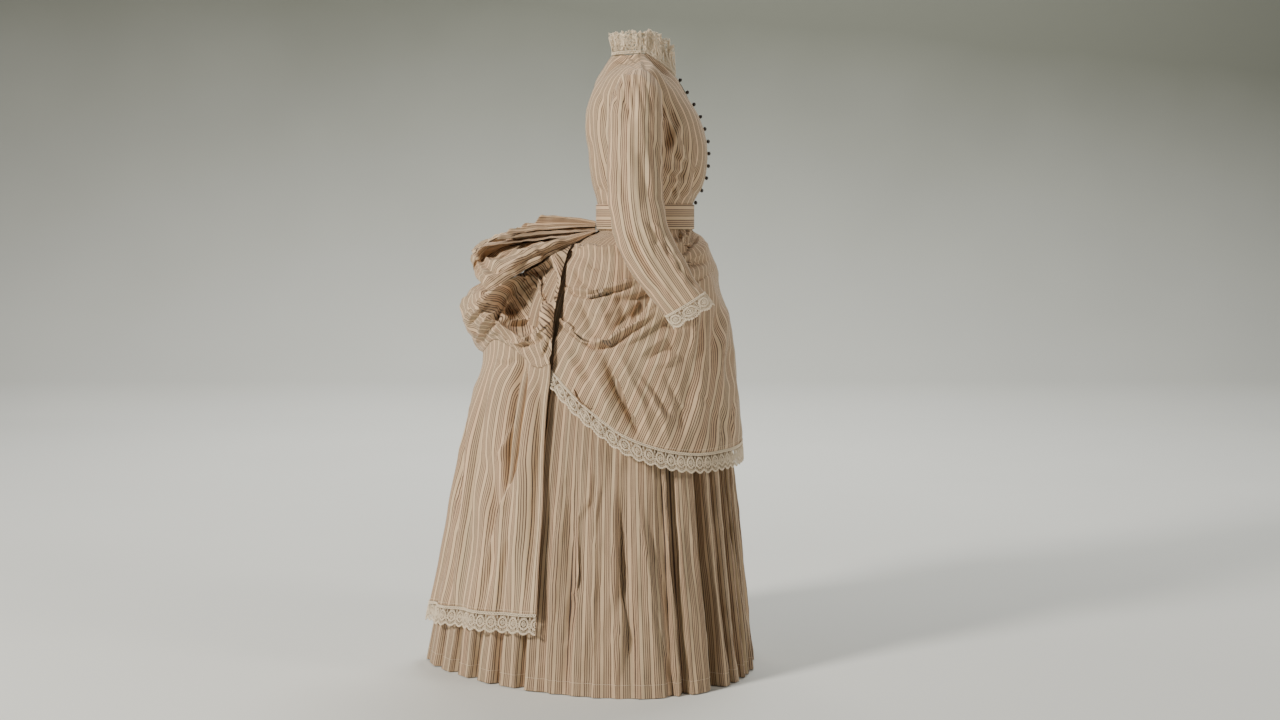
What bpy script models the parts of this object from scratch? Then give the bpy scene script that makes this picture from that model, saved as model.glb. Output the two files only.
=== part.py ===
"""Two-piece bustle dress of striped cotton, hollow, as it stands out when worn.

Metres, +Z up, +X is the front of the dress and +Y its left side. The origin is the middle
of the waist, level with the middle of the belt.
"""

import math

import bmesh
import bpy
import numpy as np

# Cloth and seams
CLOTH = 0.0016
LACE = 0.0012
SEAM = 0.0005
SEAM_EASE = 0.0004

# The waist under the belt
WAIST_FRONT = 0.1035
WAIST_BACK = -0.1075
WAIST_HALF = 0.1170
WAIST_MID = -0.004
WAIST_ROUND = 2.2
BELT_HALF = 0.0270
BELT_THICK = 0.0024
BELT_EASE = 0.0006

# The skirt hem and the lace widths
HEM_Z = -0.988
LACE_DROP = 0.042
LACE_PITCH = 0.030

# Skirt form, the outline that the pleat folds of the underskirt touch: one row a height
#  z,      front,   back,    half,   mid,     round
SKIRT_FORM = (
    (-0.006, 0.1000, -0.1040, 0.1135, -0.004, 2.2),
    (-0.029, 0.1000, -0.1040, 0.1135, -0.004, 2.2),
    (-0.045, 0.1100, -0.150, 0.1320, -0.010, 2.1),
    (-0.070, 0.1260, -0.205, 0.1520, -0.025, 2.0),
    (-0.100, 0.1380, -0.250, 0.1680, -0.035, 2.0),
    (-0.150, 0.1500, -0.292, 0.1830, -0.040, 2.0),
    (-0.200, 0.1580, -0.316, 0.1930, -0.045, 2.0),
    (-0.300, 0.1780, -0.344, 0.2120, -0.050, 2.0),
    (-0.400, 0.1890, -0.370, 0.2320, -0.050, 1.95),
    (-0.500, 0.1950, -0.396, 0.2520, -0.050, 1.85),
    (-0.600, 0.2025, -0.418, 0.2720, -0.050, 1.75),
    (-0.700, 0.2135, -0.438, 0.2920, -0.050, 1.70),
    (-0.800, 0.2245, -0.457, 0.3140, -0.050, 1.65),
    (-0.900, 0.2355, -0.478, 0.3380, -0.050, 1.60),
    (HEM_Z, 0.2440, -0.494, 0.3560, -0.050, 1.55),
)


def smooth(table, column):
    """A curve through one column of a table against its first column."""
    rows = sorted(table)
    at = np.array([row[0] for row in rows], float)
    value = np.array([row[column] for row in rows], float)
    slope = np.gradient(value, at)

    def read(x):
        x = min(max(float(x), at[0]), at[-1])
        i = int(np.clip(np.searchsorted(at, x) - 1, 0, len(at) - 2))
        step = at[i + 1] - at[i]
        t = (x - at[i]) / step
        rise = (2 * t**3 - 3 * t**2 + 1) * value[i] + (3 * t**2 - 2 * t**3) * value[i + 1]
        lean = (t**3 - 2 * t**2 + t) * slope[i] + (t**3 - t**2) * slope[i + 1]
        return float(rise + step * lean)

    return read


def ease(x, low, high):
    """0 below low, 1 above high and a soft step between."""
    t = min(max((x - low) / (high - low), 0.0), 1.0)
    return t * t * (3 - 2 * t)


def bump(x, middle, reach):
    """1 at the middle, falling softly to 0 at that reach on each side."""
    t = abs(x - middle) / reach
    return (1 - t * t) ** 2 if t < 1 else 0.0


def power(value, exponent):
    return math.copysign(abs(value) ** exponent, value)


def oval(angle, front, back, half, mid, blunt_front, blunt_back, out=0.0):
    """A point of a rounded outline, 0 at the front and pi at the back, moved out square to it."""
    c, s = math.cos(angle), math.sin(angle)
    reach = front - mid if c > 0 else mid - back
    blunt = blunt_front if c > 0 else blunt_back
    x, y = reach * power(c, 2 / blunt), half * power(s, 2 / blunt)
    nx = power(x / reach, blunt - 1) / reach
    ny = power(y / half, blunt - 1) / half
    size = math.hypot(nx, ny)
    return np.array((mid + x + out * nx / size, y + out * ny / size))


FORM = [smooth(SKIRT_FORM, column) for column in range(1, 6)]


def form_point(z, angle, out):
    front, back, half, mid, blunt = (read(z) for read in FORM)
    return np.append(oval(angle, front, back, half, mid, WAIST_ROUND, blunt, out), z)


def waist_point(z, angle, out):
    place = oval(angle, WAIST_FRONT, WAIST_BACK, WAIST_HALF, WAIST_MID, WAIST_ROUND, WAIST_ROUND, out)
    return np.append(place, z)


# Materials, one for each cloth and for the buttons
COLOURS = {
    "striped_cotton": (0.70, 0.58, 0.47, 1.0),
    "belt_cotton": (0.76, 0.66, 0.55, 1.0),
    "cotton_lace": (0.78, 0.71, 0.60, 1.0),
    "dark_buttons": (0.035, 0.028, 0.024, 1.0),
}
ROUGHNESS = {"striped_cotton": 0.85, "belt_cotton": 0.85, "cotton_lace": 0.9, "dark_buttons": 0.35}


def material(name):
    made = bpy.data.materials.get(name)
    if made is None:
        made = bpy.data.materials.new(name)
        made.use_nodes = True
        shader = made.node_tree.nodes["Principled BSDF"]
        shader.inputs["Base Color"].default_value = COLOURS[name]
        shader.inputs["Roughness"].default_value = ROUGHNESS[name]
        shader.inputs["Metallic"].default_value = 0.0
    return made


def show(name, mesh, finish):
    mesh.materials.append(material(finish))
    piece = bpy.data.objects.new(name, mesh)
    bpy.context.scene.collection.objects.link(piece)
    mesh.shade_smooth()
    mesh.set_sharp_from_angle(angle=math.radians(50))
    return piece


def thicken(piece, thickness):
    """Turns the outer face of a cloth into a closed wall, whose inner side is offset inwards."""
    wall = piece.modifiers.new("wall", "SOLIDIFY")
    wall.thickness = thickness
    wall.offset = -1.0
    wall.use_even_offset = True
    wall.use_quality_normals = True
    wall.use_rim = True
    return piece


def cloth(name, rows, finish="striped_cotton", closed=False, thickness=CLOTH):
    """A wall of cloth from rows of points on its outer face, top row first, front column first."""
    count = len(rows[0])
    points = [tuple(p) for row in rows for p in row]
    faces = []
    for r in range(len(rows) - 1):
        for c in range(count if closed else count - 1):
            right = (c + 1) % count
            faces.append((r * count + c, (r + 1) * count + c, (r + 1) * count + right, r * count + right))
    mesh = bpy.data.meshes.new(name)
    mesh.from_pydata(points, [], faces)
    return thicken(show(name, mesh, finish), thickness)


# Underskirt: deep round pleats over the front, shallow ones at the sides and wide ones behind.
# Each half of the hem is shared out from the front to the back: one row a group of pleats.
#  pleats, share of the half, depth at the hem, points of one pleat
PLEAT_GROUPS = (
    (8, 0.42, 0.034, "round"),
    (5, 0.22, 0.008, "flat"),
    (6, 0.36, 0.022, "box"),
)
# Points of one pleat: how far along it, and how deep in shares of its depth
PLEAT_SHAPES = {
    "round": ((0.00, 1.00), (0.18, 0.10), (0.50, 0.00), (0.84, 0.42)),
    "flat": ((0.00, 0.00), (0.50, 0.20), (0.90, 1.00)),
    "box": ((0.00, 0.00), (0.80, 0.05), (0.90, 1.00)),
}
SKIRT_HEIGHTS = (-0.006, -0.029, -0.070, -0.150, -0.320, -0.520, -0.745, HEM_Z)
# How much of its depth a pleat has at each height
PLEAT_OPENING = ((HEM_Z, 1.0), (-0.745, 0.90), (-0.520, 0.72), (-0.320, 0.40), (-0.150, 0.16), (-0.006, 0.02))


def pleat_line():
    """(share of the half hem, depth in metres) of every pleat point, from the front to the back."""
    line, start = [], 0.0
    for count, share, depth, shape in PLEAT_GROUPS:
        pitch = share / count
        for pleat in range(count):
            for along, deep in PLEAT_SHAPES[shape]:
                line.append((start + (pleat + along) * pitch, deep * depth))
        start += share
    return line


def half_outline(z, steps=240):
    """Points and their share of the way along one half of the skirt form, front to back."""
    angles = np.linspace(0, math.pi, steps)
    points = np.array([form_point(z, a, 0.0)[:2] for a in angles])
    run = np.concatenate([[0], np.cumsum(np.linalg.norm(np.diff(points, axis=0), axis=1))])
    return angles, run / run[-1]


def make_underskirt():
    opening = smooth(PLEAT_OPENING, 1)
    line = pleat_line()
    rows = []
    for z in SKIRT_HEIGHTS:
        angles, share = half_outline(z)
        left = [form_point(z, np.interp(at, share, angles), -deep * opening(z)) for at, deep in line]
        back = [form_point(z, math.pi, 0.0)]
        right = [p * (1, -1, 1) for p in left[:0:-1]]
        rows.append(left + back + right)
    return cloth("underskirt", rows, closed=True)


# Apron overskirt: draped round the front, drawn up at each side back in three tucks.
# Heights at seven places from the centre front (0) to the side back edge (1). Where a row lies
# above the row before it, the cloth is folded up and over.
PLACES = (0.0, 0.3, 0.5, 0.64, 0.76, 0.88, 1.0)
#  heights at the seven places,             out from the form: front, side, edge, edge angle
APRON_ROWS = (
    ((-0.004, -0.004, -0.004, -0.004, -0.004, -0.004, -0.004), 0.0029, 0.0029, 0.0032, 132),
    ((-0.0285, -0.0285, -0.0285, -0.0285, -0.0285, -0.0285, -0.0285), 0.0029, 0.0029, 0.0032, 132),
    ((-0.040, -0.052, -0.064, -0.071, -0.077, -0.080, -0.071), 0.0130, 0.0085, 0.0095, 134),
    ((-0.046, -0.056, -0.058, -0.062, -0.067, -0.070, -0.062), 0.0155, 0.0140, 0.0155, 134),
    ((-0.056, -0.070, -0.084, -0.096, -0.106, -0.118, -0.108), 0.0155, 0.0160, 0.0165, 124),
    ((-0.066, -0.084, -0.108, -0.122, -0.145, -0.168, -0.156), 0.0150, 0.0105, 0.0080, 120),
    ((-0.074, -0.092, -0.104, -0.114, -0.136, -0.158, -0.147), 0.0145, 0.0165, 0.0185, 120),
    ((-0.088, -0.112, -0.135, -0.155, -0.185, -0.208, -0.182), 0.0145, 0.0180, 0.0190, 118),
    ((-0.100, -0.128, -0.162, -0.205, -0.252, -0.276, -0.222), 0.0150, 0.0115, 0.0080, 118),
    ((-0.110, -0.138, -0.156, -0.192, -0.240, -0.264, -0.211), 0.0150, 0.0185, 0.0210, 118),
    ((-0.165, -0.195, -0.222, -0.258, -0.292, -0.306, -0.243), 0.0150, 0.0190, 0.0190, 118),
    ((-0.250, -0.280, -0.310, -0.335, -0.352, -0.350, -0.270), 0.0240, 0.0190, 0.0160, 119),
    ((-0.370, -0.395, -0.415, -0.425, -0.415, -0.390, -0.297), 0.0180, 0.0190, 0.0140, 119),
    ((-0.489, -0.494, -0.493, -0.478, -0.450, -0.392, -0.322), 0.0195, 0.0200, 0.0120, 119),
)
APRON_COLUMNS = 29


def across(values, place):
    """A value given at the seven places, read at any place."""
    return smooth(tuple(zip(PLACES, values)), 1)(abs(place))


def apron_point(row, place, drop=0.0):
    """A point of one apron row. The drop carries the line on below it, as the lace does."""
    heights, front, side, edge, turn = row
    out = smooth(((0.0, front), (0.55, side), (1.0, edge)), 1)(abs(place))
    return form_point(across(heights, place) - drop, math.radians(turn) * place, out)


def make_apron():
    places = np.linspace(-1, 1, APRON_COLUMNS)
    return cloth("apron_overskirt", [[apron_point(row, p) for p in places] for row in APRON_ROWS])


# Bustle: an upper and a lower puff across the back, drawn in at each side.
# Upper puff, one row a stage from the belt over the back to where it tucks in.
#  centre x, centre z, edge x, edge y, edge z, how far its side hollow opens
UPPER_PUFF = (
    (-0.1096, -0.0278, -0.1034, 0.050, -0.0282, 0.0),
    (-0.157, -0.0270, -0.146, 0.090, -0.0520, 0.4),
    (-0.224, -0.0260, -0.196, 0.122, -0.0770, 0.9),
    (-0.290, -0.0300, -0.247, 0.144, -0.1070, 1.0),
    (-0.346, -0.0460, -0.292, 0.158, -0.1320, 0.9),
    (-0.377, -0.0700, -0.316, 0.164, -0.1460, 0.55),
    (-0.386, -0.0900, -0.330, 0.166, -0.1540, 0.25),
    (-0.375, -0.1130, -0.340, 0.164, -0.1590, 0.0),
    (-0.350, -0.1400, -0.338, 0.158, -0.1640, 0.0),
)
# Across the upper puff, one row a point from its centre to its edge: plain rounded or hollowed
#  place, plain out, plain down, hollowed out, hollowed down
UPPER_ACROSS = (
    (0.00, 0.000, 0.00, 0.00, 0.00),
    (0.14, 0.218, 0.02, 0.24, 0.00),
    (0.28, 0.426, 0.09, 0.46, 0.01),
    (0.38, 0.562, 0.17, 0.58, 0.06),
    (0.46, 0.661, 0.25, 0.52, 0.18),
    (0.54, 0.750, 0.34, 0.34, 0.30),
    (0.62, 0.827, 0.44, 0.46, 0.44),
    (0.70, 0.891, 0.55, 0.74, 0.50),
    (0.78, 0.941, 0.66, 0.95, 0.58),
    (0.88, 0.982, 0.81, 1.04, 0.76),
    (1.00, 1.000, 1.00, 1.00, 1.00),
)


def upper_point(stage, column):
    """A point of the upper puff; column counts its points out from the centre, negative at -Y."""
    centre_x, centre_z, edge_x, edge_y, edge_z, opens = UPPER_PUFF[stage]
    place, plain_out, plain_down, hollow_out, hollow_down = UPPER_ACROSS[abs(column)]
    out = plain_out + (hollow_out - plain_out) * opens
    down = plain_down + (hollow_down - plain_down) * opens
    x = centre_x + (edge_x - centre_x) * place**2
    return np.array((x, math.copysign(edge_y * out, column), centre_z + (edge_z - centre_z) * down))


def make_upper_puff():
    last = len(UPPER_ACROSS) - 1
    columns = range(last, -last - 1, -1)
    return cloth("bustle_upper_puff", [[upper_point(s, c) for c in columns] for s in range(len(UPPER_PUFF))])


RIM_CORNER = 0.4
RIM_REACH = 0.7


def upper_rim_lines():
    """The free rim of the upper puff: its low end from the centre out, then its side going up."""
    last = len(UPPER_ACROSS) - 1
    low = [upper_point(len(UPPER_PUFF) - 1, column) for column in range(last + 1)]
    side = [upper_point(stage, last) for stage in range(len(UPPER_PUFF) - 1, 0, -1)]
    side[-1] = side[-2] + (side[-1] - side[-2]) * RIM_REACH
    return np.array(low), np.array(side)


def shares(line):
    run = np.concatenate([[0], np.cumsum(np.linalg.norm(np.diff(line, axis=0), axis=1))])
    return run / run[-1]


def upper_rim(place):
    """A point of that rim: 0 the centre of its low end, RIM_CORNER its corner and 1 its top."""
    low, side = upper_rim_lines()
    if place < RIM_CORNER:
        return np.array([np.interp(place / RIM_CORNER, shares(low), low[:, axis]) for axis in range(3)])
    share = (place - RIM_CORNER) / (1 - RIM_CORNER)
    return np.array([np.interp(share, shares(side), side[:, axis]) for axis in range(3)])


# Lower puff, from the rim of the upper one down, one row a place from the centre back (0)
# to the side edge (1).
#  place, low x,  low y,  low z,   bulge
LOWER_PUFF = (
    (0.0, -0.362, 0.000, -0.300, 0.054),
    (0.2, -0.352, 0.072, -0.288, 0.050),
    (0.4, -0.325, 0.132, -0.262, 0.036),
    (0.6, -0.285, 0.165, -0.277, 0.028),
    (0.8, -0.236, 0.192, -0.316, 0.034),
    (1.0, -0.205, 0.209, -0.308, 0.036),
)
LOWER = [smooth(LOWER_PUFF, column) for column in range(1, 5)]
LOWER_TURN = 74
LOWER_STAGES = (0.0, 0.07, 0.15, 0.23, 0.32, 0.42, 0.52, 0.61, 0.70, 0.80, 0.90, 1.0)
SWELL_HIGH, SWELL_FULL = 0.75, 0.8
# The pocket in its side, where the drapery folds in on itself
POCKET_PLACE, POCKET_STAGE = 0.58, 0.34
POCKET_REACH, POCKET_DROP = 0.19, 0.36
POCKET_DEPTH = 0.046
POCKET_WAY = np.array((0.25, -0.97, 0.0))


def lower_point(stage, place):
    """A point of the lower puff, stage 0 at its top and 1 at its low edge."""
    side = abs(place)
    top = upper_rim(side) - (0, 0, SEAM + SEAM_EASE)
    low = np.array([read(side) for read in LOWER[0:3]])
    turn = side * math.radians(LOWER_TURN)
    outward = np.array((-math.cos(turn), math.sin(turn), 0.0))
    swell = LOWER[3](side) * math.sin(math.pi * stage**SWELL_HIGH) ** SWELL_FULL if 0 < stage < 1 else 0.0
    away = math.hypot((side - POCKET_PLACE) / POCKET_REACH, (stage - POCKET_STAGE) / POCKET_DROP)
    pocket = POCKET_DEPTH * (1 - ease(away, 0.5, 1.0))
    point = top + (low - top) * stage + outward * swell + POCKET_WAY * pocket
    return point * (1, math.copysign(1, place), 1)


def lower_places():
    """Places of the lower puff's columns, with one at each bend of the rim that it hangs from."""
    bends = list(shares(upper_rim_lines()[1]))
    bends.pop(1)
    long = [(a + b) / 2 for a, b in zip(bends, bends[1:]) if b - a > 0.15]
    return [0.0, 0.1, 0.2, 0.3] + [RIM_CORNER + (1 - RIM_CORNER) * share for share in sorted(bends + long)]


def both_sides(half):
    return half[::-1] + [-place for place in half[1:]]


def make_lower_puff():
    places = both_sides(lower_places())
    return cloth("bustle_lower_puff", [[lower_point(v, p) for p in places] for v in LOWER_STAGES])


# Fan: the pleated top end of the bustle drapery, which stands up behind the belt.
# One row a fold of its free end, from the centre out: ridge, valley, ridge and so on.
#  x, y, z
FAN_FOLDS = (
    (-0.222, 0.000, 0.0040),
    (-0.218, 0.016, -0.0100),
    (-0.228, 0.034, 0.0050),
    (-0.250, 0.046, -0.0250),
    (-0.256, 0.072, -0.0150),
    (-0.262, 0.084, -0.0300),
    (-0.292, 0.108, -0.0240),
    (-0.300, 0.120, -0.0360),
)
FAN_ROOT_X, FAN_ROOT_Z = -0.1113, -0.0130
FAN_ROOT_HALF, FAN_ROOT_DEEP = 0.030, 0.008
FAN_STAGES = (0.0, 0.3, 0.65, 1.0)
FAN_CROWN = 0.003


def fan_point(stage, fold):
    """Stage 0 is the gathered root at the belt and 1 the free end."""
    free = np.array(FAN_FOLDS[abs(fold)])
    share = abs(fold) / (len(FAN_FOLDS) - 1)
    lift = FAN_ROOT_DEEP * 0.5 * (-1) ** fold * (1 - share)
    root = np.array((FAN_ROOT_X, FAN_ROOT_HALF * share, FAN_ROOT_Z + lift - FAN_ROOT_DEEP * share))
    crown = np.array((0, 0, FAN_CROWN * math.sin(math.pi * stage)))
    point = root + (free - root) * stage + crown
    return point * (1, math.copysign(1, fold), 1)


def make_fan():
    last = len(FAN_FOLDS) - 1
    return cloth("bustle_fan", [[fan_point(v, k) for k in range(last, -last - 1, -1)] for v in FAN_STAGES])


# Back panel: hangs from under the lower puff, round the back, nearly to the hem
PANEL_EDGE = 120
PANEL_LOW_BACK, PANEL_LOW_SIDE = -0.857, -0.826
PANEL_OUT = 0.017
PANEL_STAGES = (0.0, 0.05, 0.13, 0.30, 0.50, 0.75, 1.0)
# Upright folds of the back panel: place from centre (0) to edge (1), reach, depth
PANEL_FOLDS = (
    (0.18, 0.13, 0.011),
    (0.50, 0.14, 0.014),
    (0.82, 0.11, 0.006),
)


def panel_point(stage, place, drop=0.0):
    side = abs(place)
    top = lower_point(1.0, side) - (0, 0, SEAM + SEAM_EASE)
    low = PANEL_LOW_BACK + (PANEL_LOW_SIDE - PANEL_LOW_BACK) * side
    z = top[2] + (low - top[2]) * stage - drop
    fold = sum(depth * bump(side, at, reach) for at, reach, depth in PANEL_FOLDS)
    angle = math.pi - math.radians(180 - PANEL_EDGE) * side
    hung = form_point(z, angle, PANEL_OUT - fold * ease(stage, 0.05, 0.5))
    point = top + (hung - top) * ease(stage, -0.02, 0.16)
    point[2] = z
    return point * (1, math.copysign(1, place), 1)


def make_back_panel():
    places = both_sides(lower_places())
    return cloth("back_panel", [[panel_point(v, p) for p in places] for v in PANEL_STAGES])


# Bodice: two fronts and a back, fitted to a general figure.
#  z,     front,  back,    half
BODICE_FORM = (
    (0.000, 0.1030, -0.1070, 0.1164),
    (0.028, 0.1030, -0.1070, 0.1164),
    (0.044, 0.1110, -0.1105, 0.119),
    (0.059, 0.1200, -0.1145, 0.121),
    (0.081, 0.1280, -0.1195, 0.126),
    (0.113, 0.1340, -0.1250, 0.132),
    (0.142, 0.1352, -0.1285, 0.137),
    (0.175, 0.1305, -0.1330, 0.141),
    (0.205, 0.1215, -0.1335, 0.142),
    (0.224, 0.1130, -0.1325, 0.143),
    (0.254, 0.0960, -0.1270, 0.148),
    (0.286, 0.0786, -0.1150, 0.160),
    (0.306, 0.0660, -0.1050, 0.180),
    (0.337, 0.0400, -0.0860, 0.200),
    (0.354, 0.0200, -0.0730, 0.210),
)
BODICE = [smooth(BODICE_FORM, column) for column in range(1, 4)]
# Armhole edge: z, front half width, back half width
ARMHOLE = (
    (0.205, 0.1420, 0.1420),
    (0.222, 0.1385, 0.1400),
    (0.245, 0.1370, 0.1420),
    (0.265, 0.1420, 0.1480),
    (0.285, 0.1530, 0.1570),
    (0.306, 0.1720, 0.1720),
)
ARM_FRONT = smooth(ARMHOLE, 1)
ARM_BACK = smooth(ARMHOLE, 2)
UNDERARM_Z = 0.205
SHOULDER_TIP = (0.172, 0.306)
SHOULDER_NECK = (0.060, 0.352)
NECK_FRONT_Z = 0.305
NECK_TOP_Z = 0.3505
NECK_HALF = 0.057
NECK_CURVE = 0.62
SEAM_X = -0.012
CHEST_TURN_Z = 0.215
CAP_FULL, CAP_FALL = 2.2, 0.55


def shoulder_z(y):
    """Height of the shoulder line, which goes on rising inside the neck."""
    slope = (SHOULDER_NECK[1] - SHOULDER_TIP[1]) / (SHOULDER_TIP[0] - SHOULDER_NECK[0])
    steeper = 1.6 if y < SHOULDER_NECK[0] else slope
    return SHOULDER_NECK[1] + (SHOULDER_NECK[0] - y) * steeper


def shoulder_cap(y, z):
    """How far the chest still stands out from the shoulder seam at that height, 1 to 0."""
    t = min(max((z - CHEST_TURN_Z) / (shoulder_z(y) - CHEST_TURN_Z), 0.0), 1.0)
    return (1 - t**CAP_FULL) ** CAP_FALL


def bodice_point(y, z, facing):
    """A point of the bodice at that half width and height; facing is 1 in front and -1 behind."""
    reach, half = BODICE[0 if facing > 0 else 1](z), BODICE[2](z)
    side = WAIST_MID + (SEAM_X - WAIST_MID) * ease(z, 0.0, 0.3)
    oval_share = (1 - min(y / half, 1.0) ** WAIST_ROUND) ** (1 / WAIST_ROUND)
    cap = shoulder_cap(y, z) / shoulder_cap(0.0, z)
    return np.array((side + (reach - side) * oval_share * cap, y, z))


def outer_edge(z, facing):
    """Half width where a bodice panel ends: side seam, armhole or shoulder seam."""
    if z <= UNDERARM_Z:
        return BODICE[2](z)
    if z <= SHOULDER_TIP[1]:
        return (ARM_FRONT if facing > 0 else ARM_BACK)(z)
    slope = (SHOULDER_TIP[0] - SHOULDER_NECK[0]) / (SHOULDER_NECK[1] - SHOULDER_TIP[1])
    return SHOULDER_TIP[0] - (z - SHOULDER_TIP[1]) * slope


def neck_edge(z):
    """Half width of the front neckline at that height."""
    share = min(max((z - NECK_FRONT_Z) / (SHOULDER_NECK[1] - NECK_FRONT_Z), 0.0), 1.0)
    return NECK_HALF * share**NECK_CURVE


WAIST_HEIGHTS = (0.0005, 0.027, 0.052, 0.085, 0.125, 0.165)
SHOULDER_HEIGHTS = (0.318, 0.331, 0.343, NECK_TOP_Z)
FRONT_COLUMNS = 8
SLEEVE_SIDES = 16
SHOULDER_EASE = 0.0009
ARMHOLE_EASE = 0.0008


def armhole_height(turn):
    middle, reach = (SHOULDER_TIP[1] + UNDERARM_Z) / 2, (SHOULDER_TIP[1] - UNDERARM_Z) / 2
    return middle + reach * math.cos(turn)


def bodice_heights():
    """Heights of the bodice rows, top first, with one at each point of the armhole."""
    armhole = [armhole_height(2 * math.pi * k / SLEEVE_SIDES) for k in range(SLEEVE_SIDES // 2 + 1)]
    return sorted(WAIST_HEIGHTS + SHOULDER_HEIGHTS + tuple(armhole), reverse=True)


def spaced(low, high, count):
    """Half widths from low to high, closer together towards high."""
    return [low + (high - low) * math.sin(math.pi / 2 * k / (count - 1)) for k in range(count)]


def bodice_row(z, facing, low, count=FRONT_COLUMNS):
    """One row from the centre to the side, parted there from the panel that it is sewn to."""
    edge = outer_edge(z, facing)
    gap = SEAM / 2 if z < UNDERARM_Z else SHOULDER_EASE
    row = [bodice_point(y, z, facing) for y in spaced(low, edge, count)]
    return [p + (facing * gap * k / (count - 1), 0, 0) for k, p in enumerate(row)]


def make_fronts():
    left = [bodice_row(z, 1, max(neck_edge(z), SEAM / 2)) for z in bodice_heights()]
    right = [[p * (1, -1, 1) for p in row[::-1]] for row in left]
    return cloth("bodice_front_left", left), cloth("bodice_front_right", right)


def make_bodice_back():
    rows = []
    for z in bodice_heights():
        half = bodice_row(z, -1, 0.0)
        rows.append(half[::-1] + [p * (1, -1, 1) for p in half[1:]])
    return cloth("bodice_back", rows)


# Belt: one band of cloth round the waist
BELT_SIDES = 44


def make_belt():
    angles = [2 * math.pi * k / BELT_SIDES for k in range(BELT_SIDES)]
    out = BELT_EASE + BELT_THICK
    rows = [[waist_point(z, a, out) for a in angles] for z in (BELT_HALF, -BELT_HALF)]
    return cloth("belt", rows, "belt_cotton", True, BELT_THICK)


# Sleeves: one ring a row, from the shoulder over the bent elbow to the wrist.
#  centre x, y, z,          outward y, outward z, along x, along z
SLEEVE_RINGS = (
    (-0.016, 0.1665, 0.2580, 0.0215, 0.0480, 0.0470, 0.000),
    (-0.020, 0.1830, 0.2420, 0.0390, 0.0330, 0.0540, 0.000),
    (-0.0230, 0.1955, 0.2120, 0.0470, 0.0120, 0.0565, 0.000),
    (-0.0243, 0.2020, 0.1600, 0.0470, 0.0000, 0.0580, 0.000),
    (-0.0240, 0.2090, 0.0950, 0.0470, 0.0000, 0.0580, 0.002),
    (-0.0220, 0.2160, 0.0350, 0.0475, 0.0000, 0.0580, 0.006),
    (-0.0150, 0.2230, -0.0120, 0.0480, 0.0000, 0.0570, 0.016),
    (-0.0010, 0.2300, -0.0560, 0.0460, 0.0000, 0.0530, 0.025),
    (0.0220, 0.2370, -0.0980, 0.0440, 0.0000, 0.0470, 0.030),
    (0.0480, 0.2440, -0.1360, 0.0410, 0.0000, 0.0430, 0.028),
    (0.0790, 0.2510, -0.1790, 0.0370, 0.0000, 0.0410, 0.025),
)


def armhole_ring():
    """The armhole edge on the +Y side, from the shoulder tip down the front and up the back."""
    ring = []
    for k in range(SLEEVE_SIDES):
        turn = 2 * math.pi * k / SLEEVE_SIDES
        z = armhole_height(turn)
        facing = 1 if turn <= math.pi else -1
        ease_x = 0.0 if k in (0, SLEEVE_SIDES // 2) else facing * SHOULDER_EASE
        ring.append(bodice_point(outer_edge(z, facing), z, facing) + (ease_x, ARMHOLE_EASE, 0))
    return ring


def sleeve_ring(row):
    x, y, z, out_y, out_z, along_x, along_z = row
    centre, outward, along = np.array((x, y, z)), np.array((0, out_y, out_z)), np.array((along_x, 0, along_z))
    turns = [2 * math.pi * k / SLEEVE_SIDES for k in range(SLEEVE_SIDES)]
    return [centre + outward * math.cos(t) + along * math.sin(t) for t in turns]


def make_sleeves():
    rings = [armhole_ring()] + [sleeve_ring(row) for row in SLEEVE_RINGS]
    left = [[ring[0]] + ring[:0:-1] for ring in rings]
    right = [[point * (1, -1, 1) for point in ring] for ring in rings]
    return cloth("sleeve_left", left, closed=True), cloth("sleeve_right", right, closed=True)


# Lace: one cell a repeat, with scallops below and a gap between each two medallions
SCALLOP = 0.82
GAP_HALF = 0.0042


def lace_band(name, cells, place_of):
    """place_of(along, down) puts a point of the band, along counted in cells and down from 0 to 1."""
    spots, faces = {}, []

    def spot(along, down):
        key = (round(along, 4), round(down, 4))
        if key not in spots:
            spots[key] = (len(spots), place_of(along, down))
        return spots[key][0]

    gap = GAP_HALF / LACE_PITCH
    for k in range(cells):
        low_left, low_mid, low_right = spot(k, 1.0), spot(k + 0.5, SCALLOP), spot(k + 1, 1.0)
        top_left, top_right = spot(k, 0.0), spot(k + 1, 0.0)
        up, down = spot(k + 0.5, 0.10), spot(k + 0.5, 0.46)
        left, right = spot(k + 0.5 - gap, 0.22), spot(k + 0.5 + gap, 0.22)
        faces.append((top_left, left, up, right, top_right))
        faces.append((top_left, low_left, low_mid, down, left))
        faces.append((low_right, top_right, right, down, low_mid))
    points = [tuple(place) for _, place in sorted(spots.values(), key=lambda pair: pair[0])]
    mesh = bpy.data.meshes.new(name)
    mesh.from_pydata(points, [], faces)
    return thicken(show(name, mesh, "cotton_lace"), LACE)


APRON_CELLS = 48
PANEL_CELLS = 32
CUFF_CELLS = 4
CUFF_DROP = 0.030
CUFF_FLARE = 0.02
CUFF_PARTING = 0.004
LACE_NARROWING = 0.15


def make_laces():
    def on_apron(along, down):
        place = 2 * along / APRON_CELLS - 1
        drop = LACE_DROP * (1 - LACE_NARROWING * abs(place) ** 3)
        return apron_point(APRON_ROWS[-1], place, SEAM + down * drop)

    def on_panel(along, down):
        place = 1 - 2 * along / PANEL_CELLS
        return panel_point(1.0, place, SEAM + down * LACE_DROP)

    lace_band("lace_apron", APRON_CELLS, on_apron)
    lace_band("lace_back_panel", PANEL_CELLS, on_panel)
    for hand, side in (("left", 1), ("right", -1)):
        lace_band(f"lace_cuff_{hand}_back", CUFF_CELLS, cuff_place(side, 0.0 if side > 0 else math.pi))
        lace_band(f"lace_cuff_{hand}_front", CUFF_CELLS, cuff_place(side, math.pi if side > 0 else 0.0))


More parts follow.
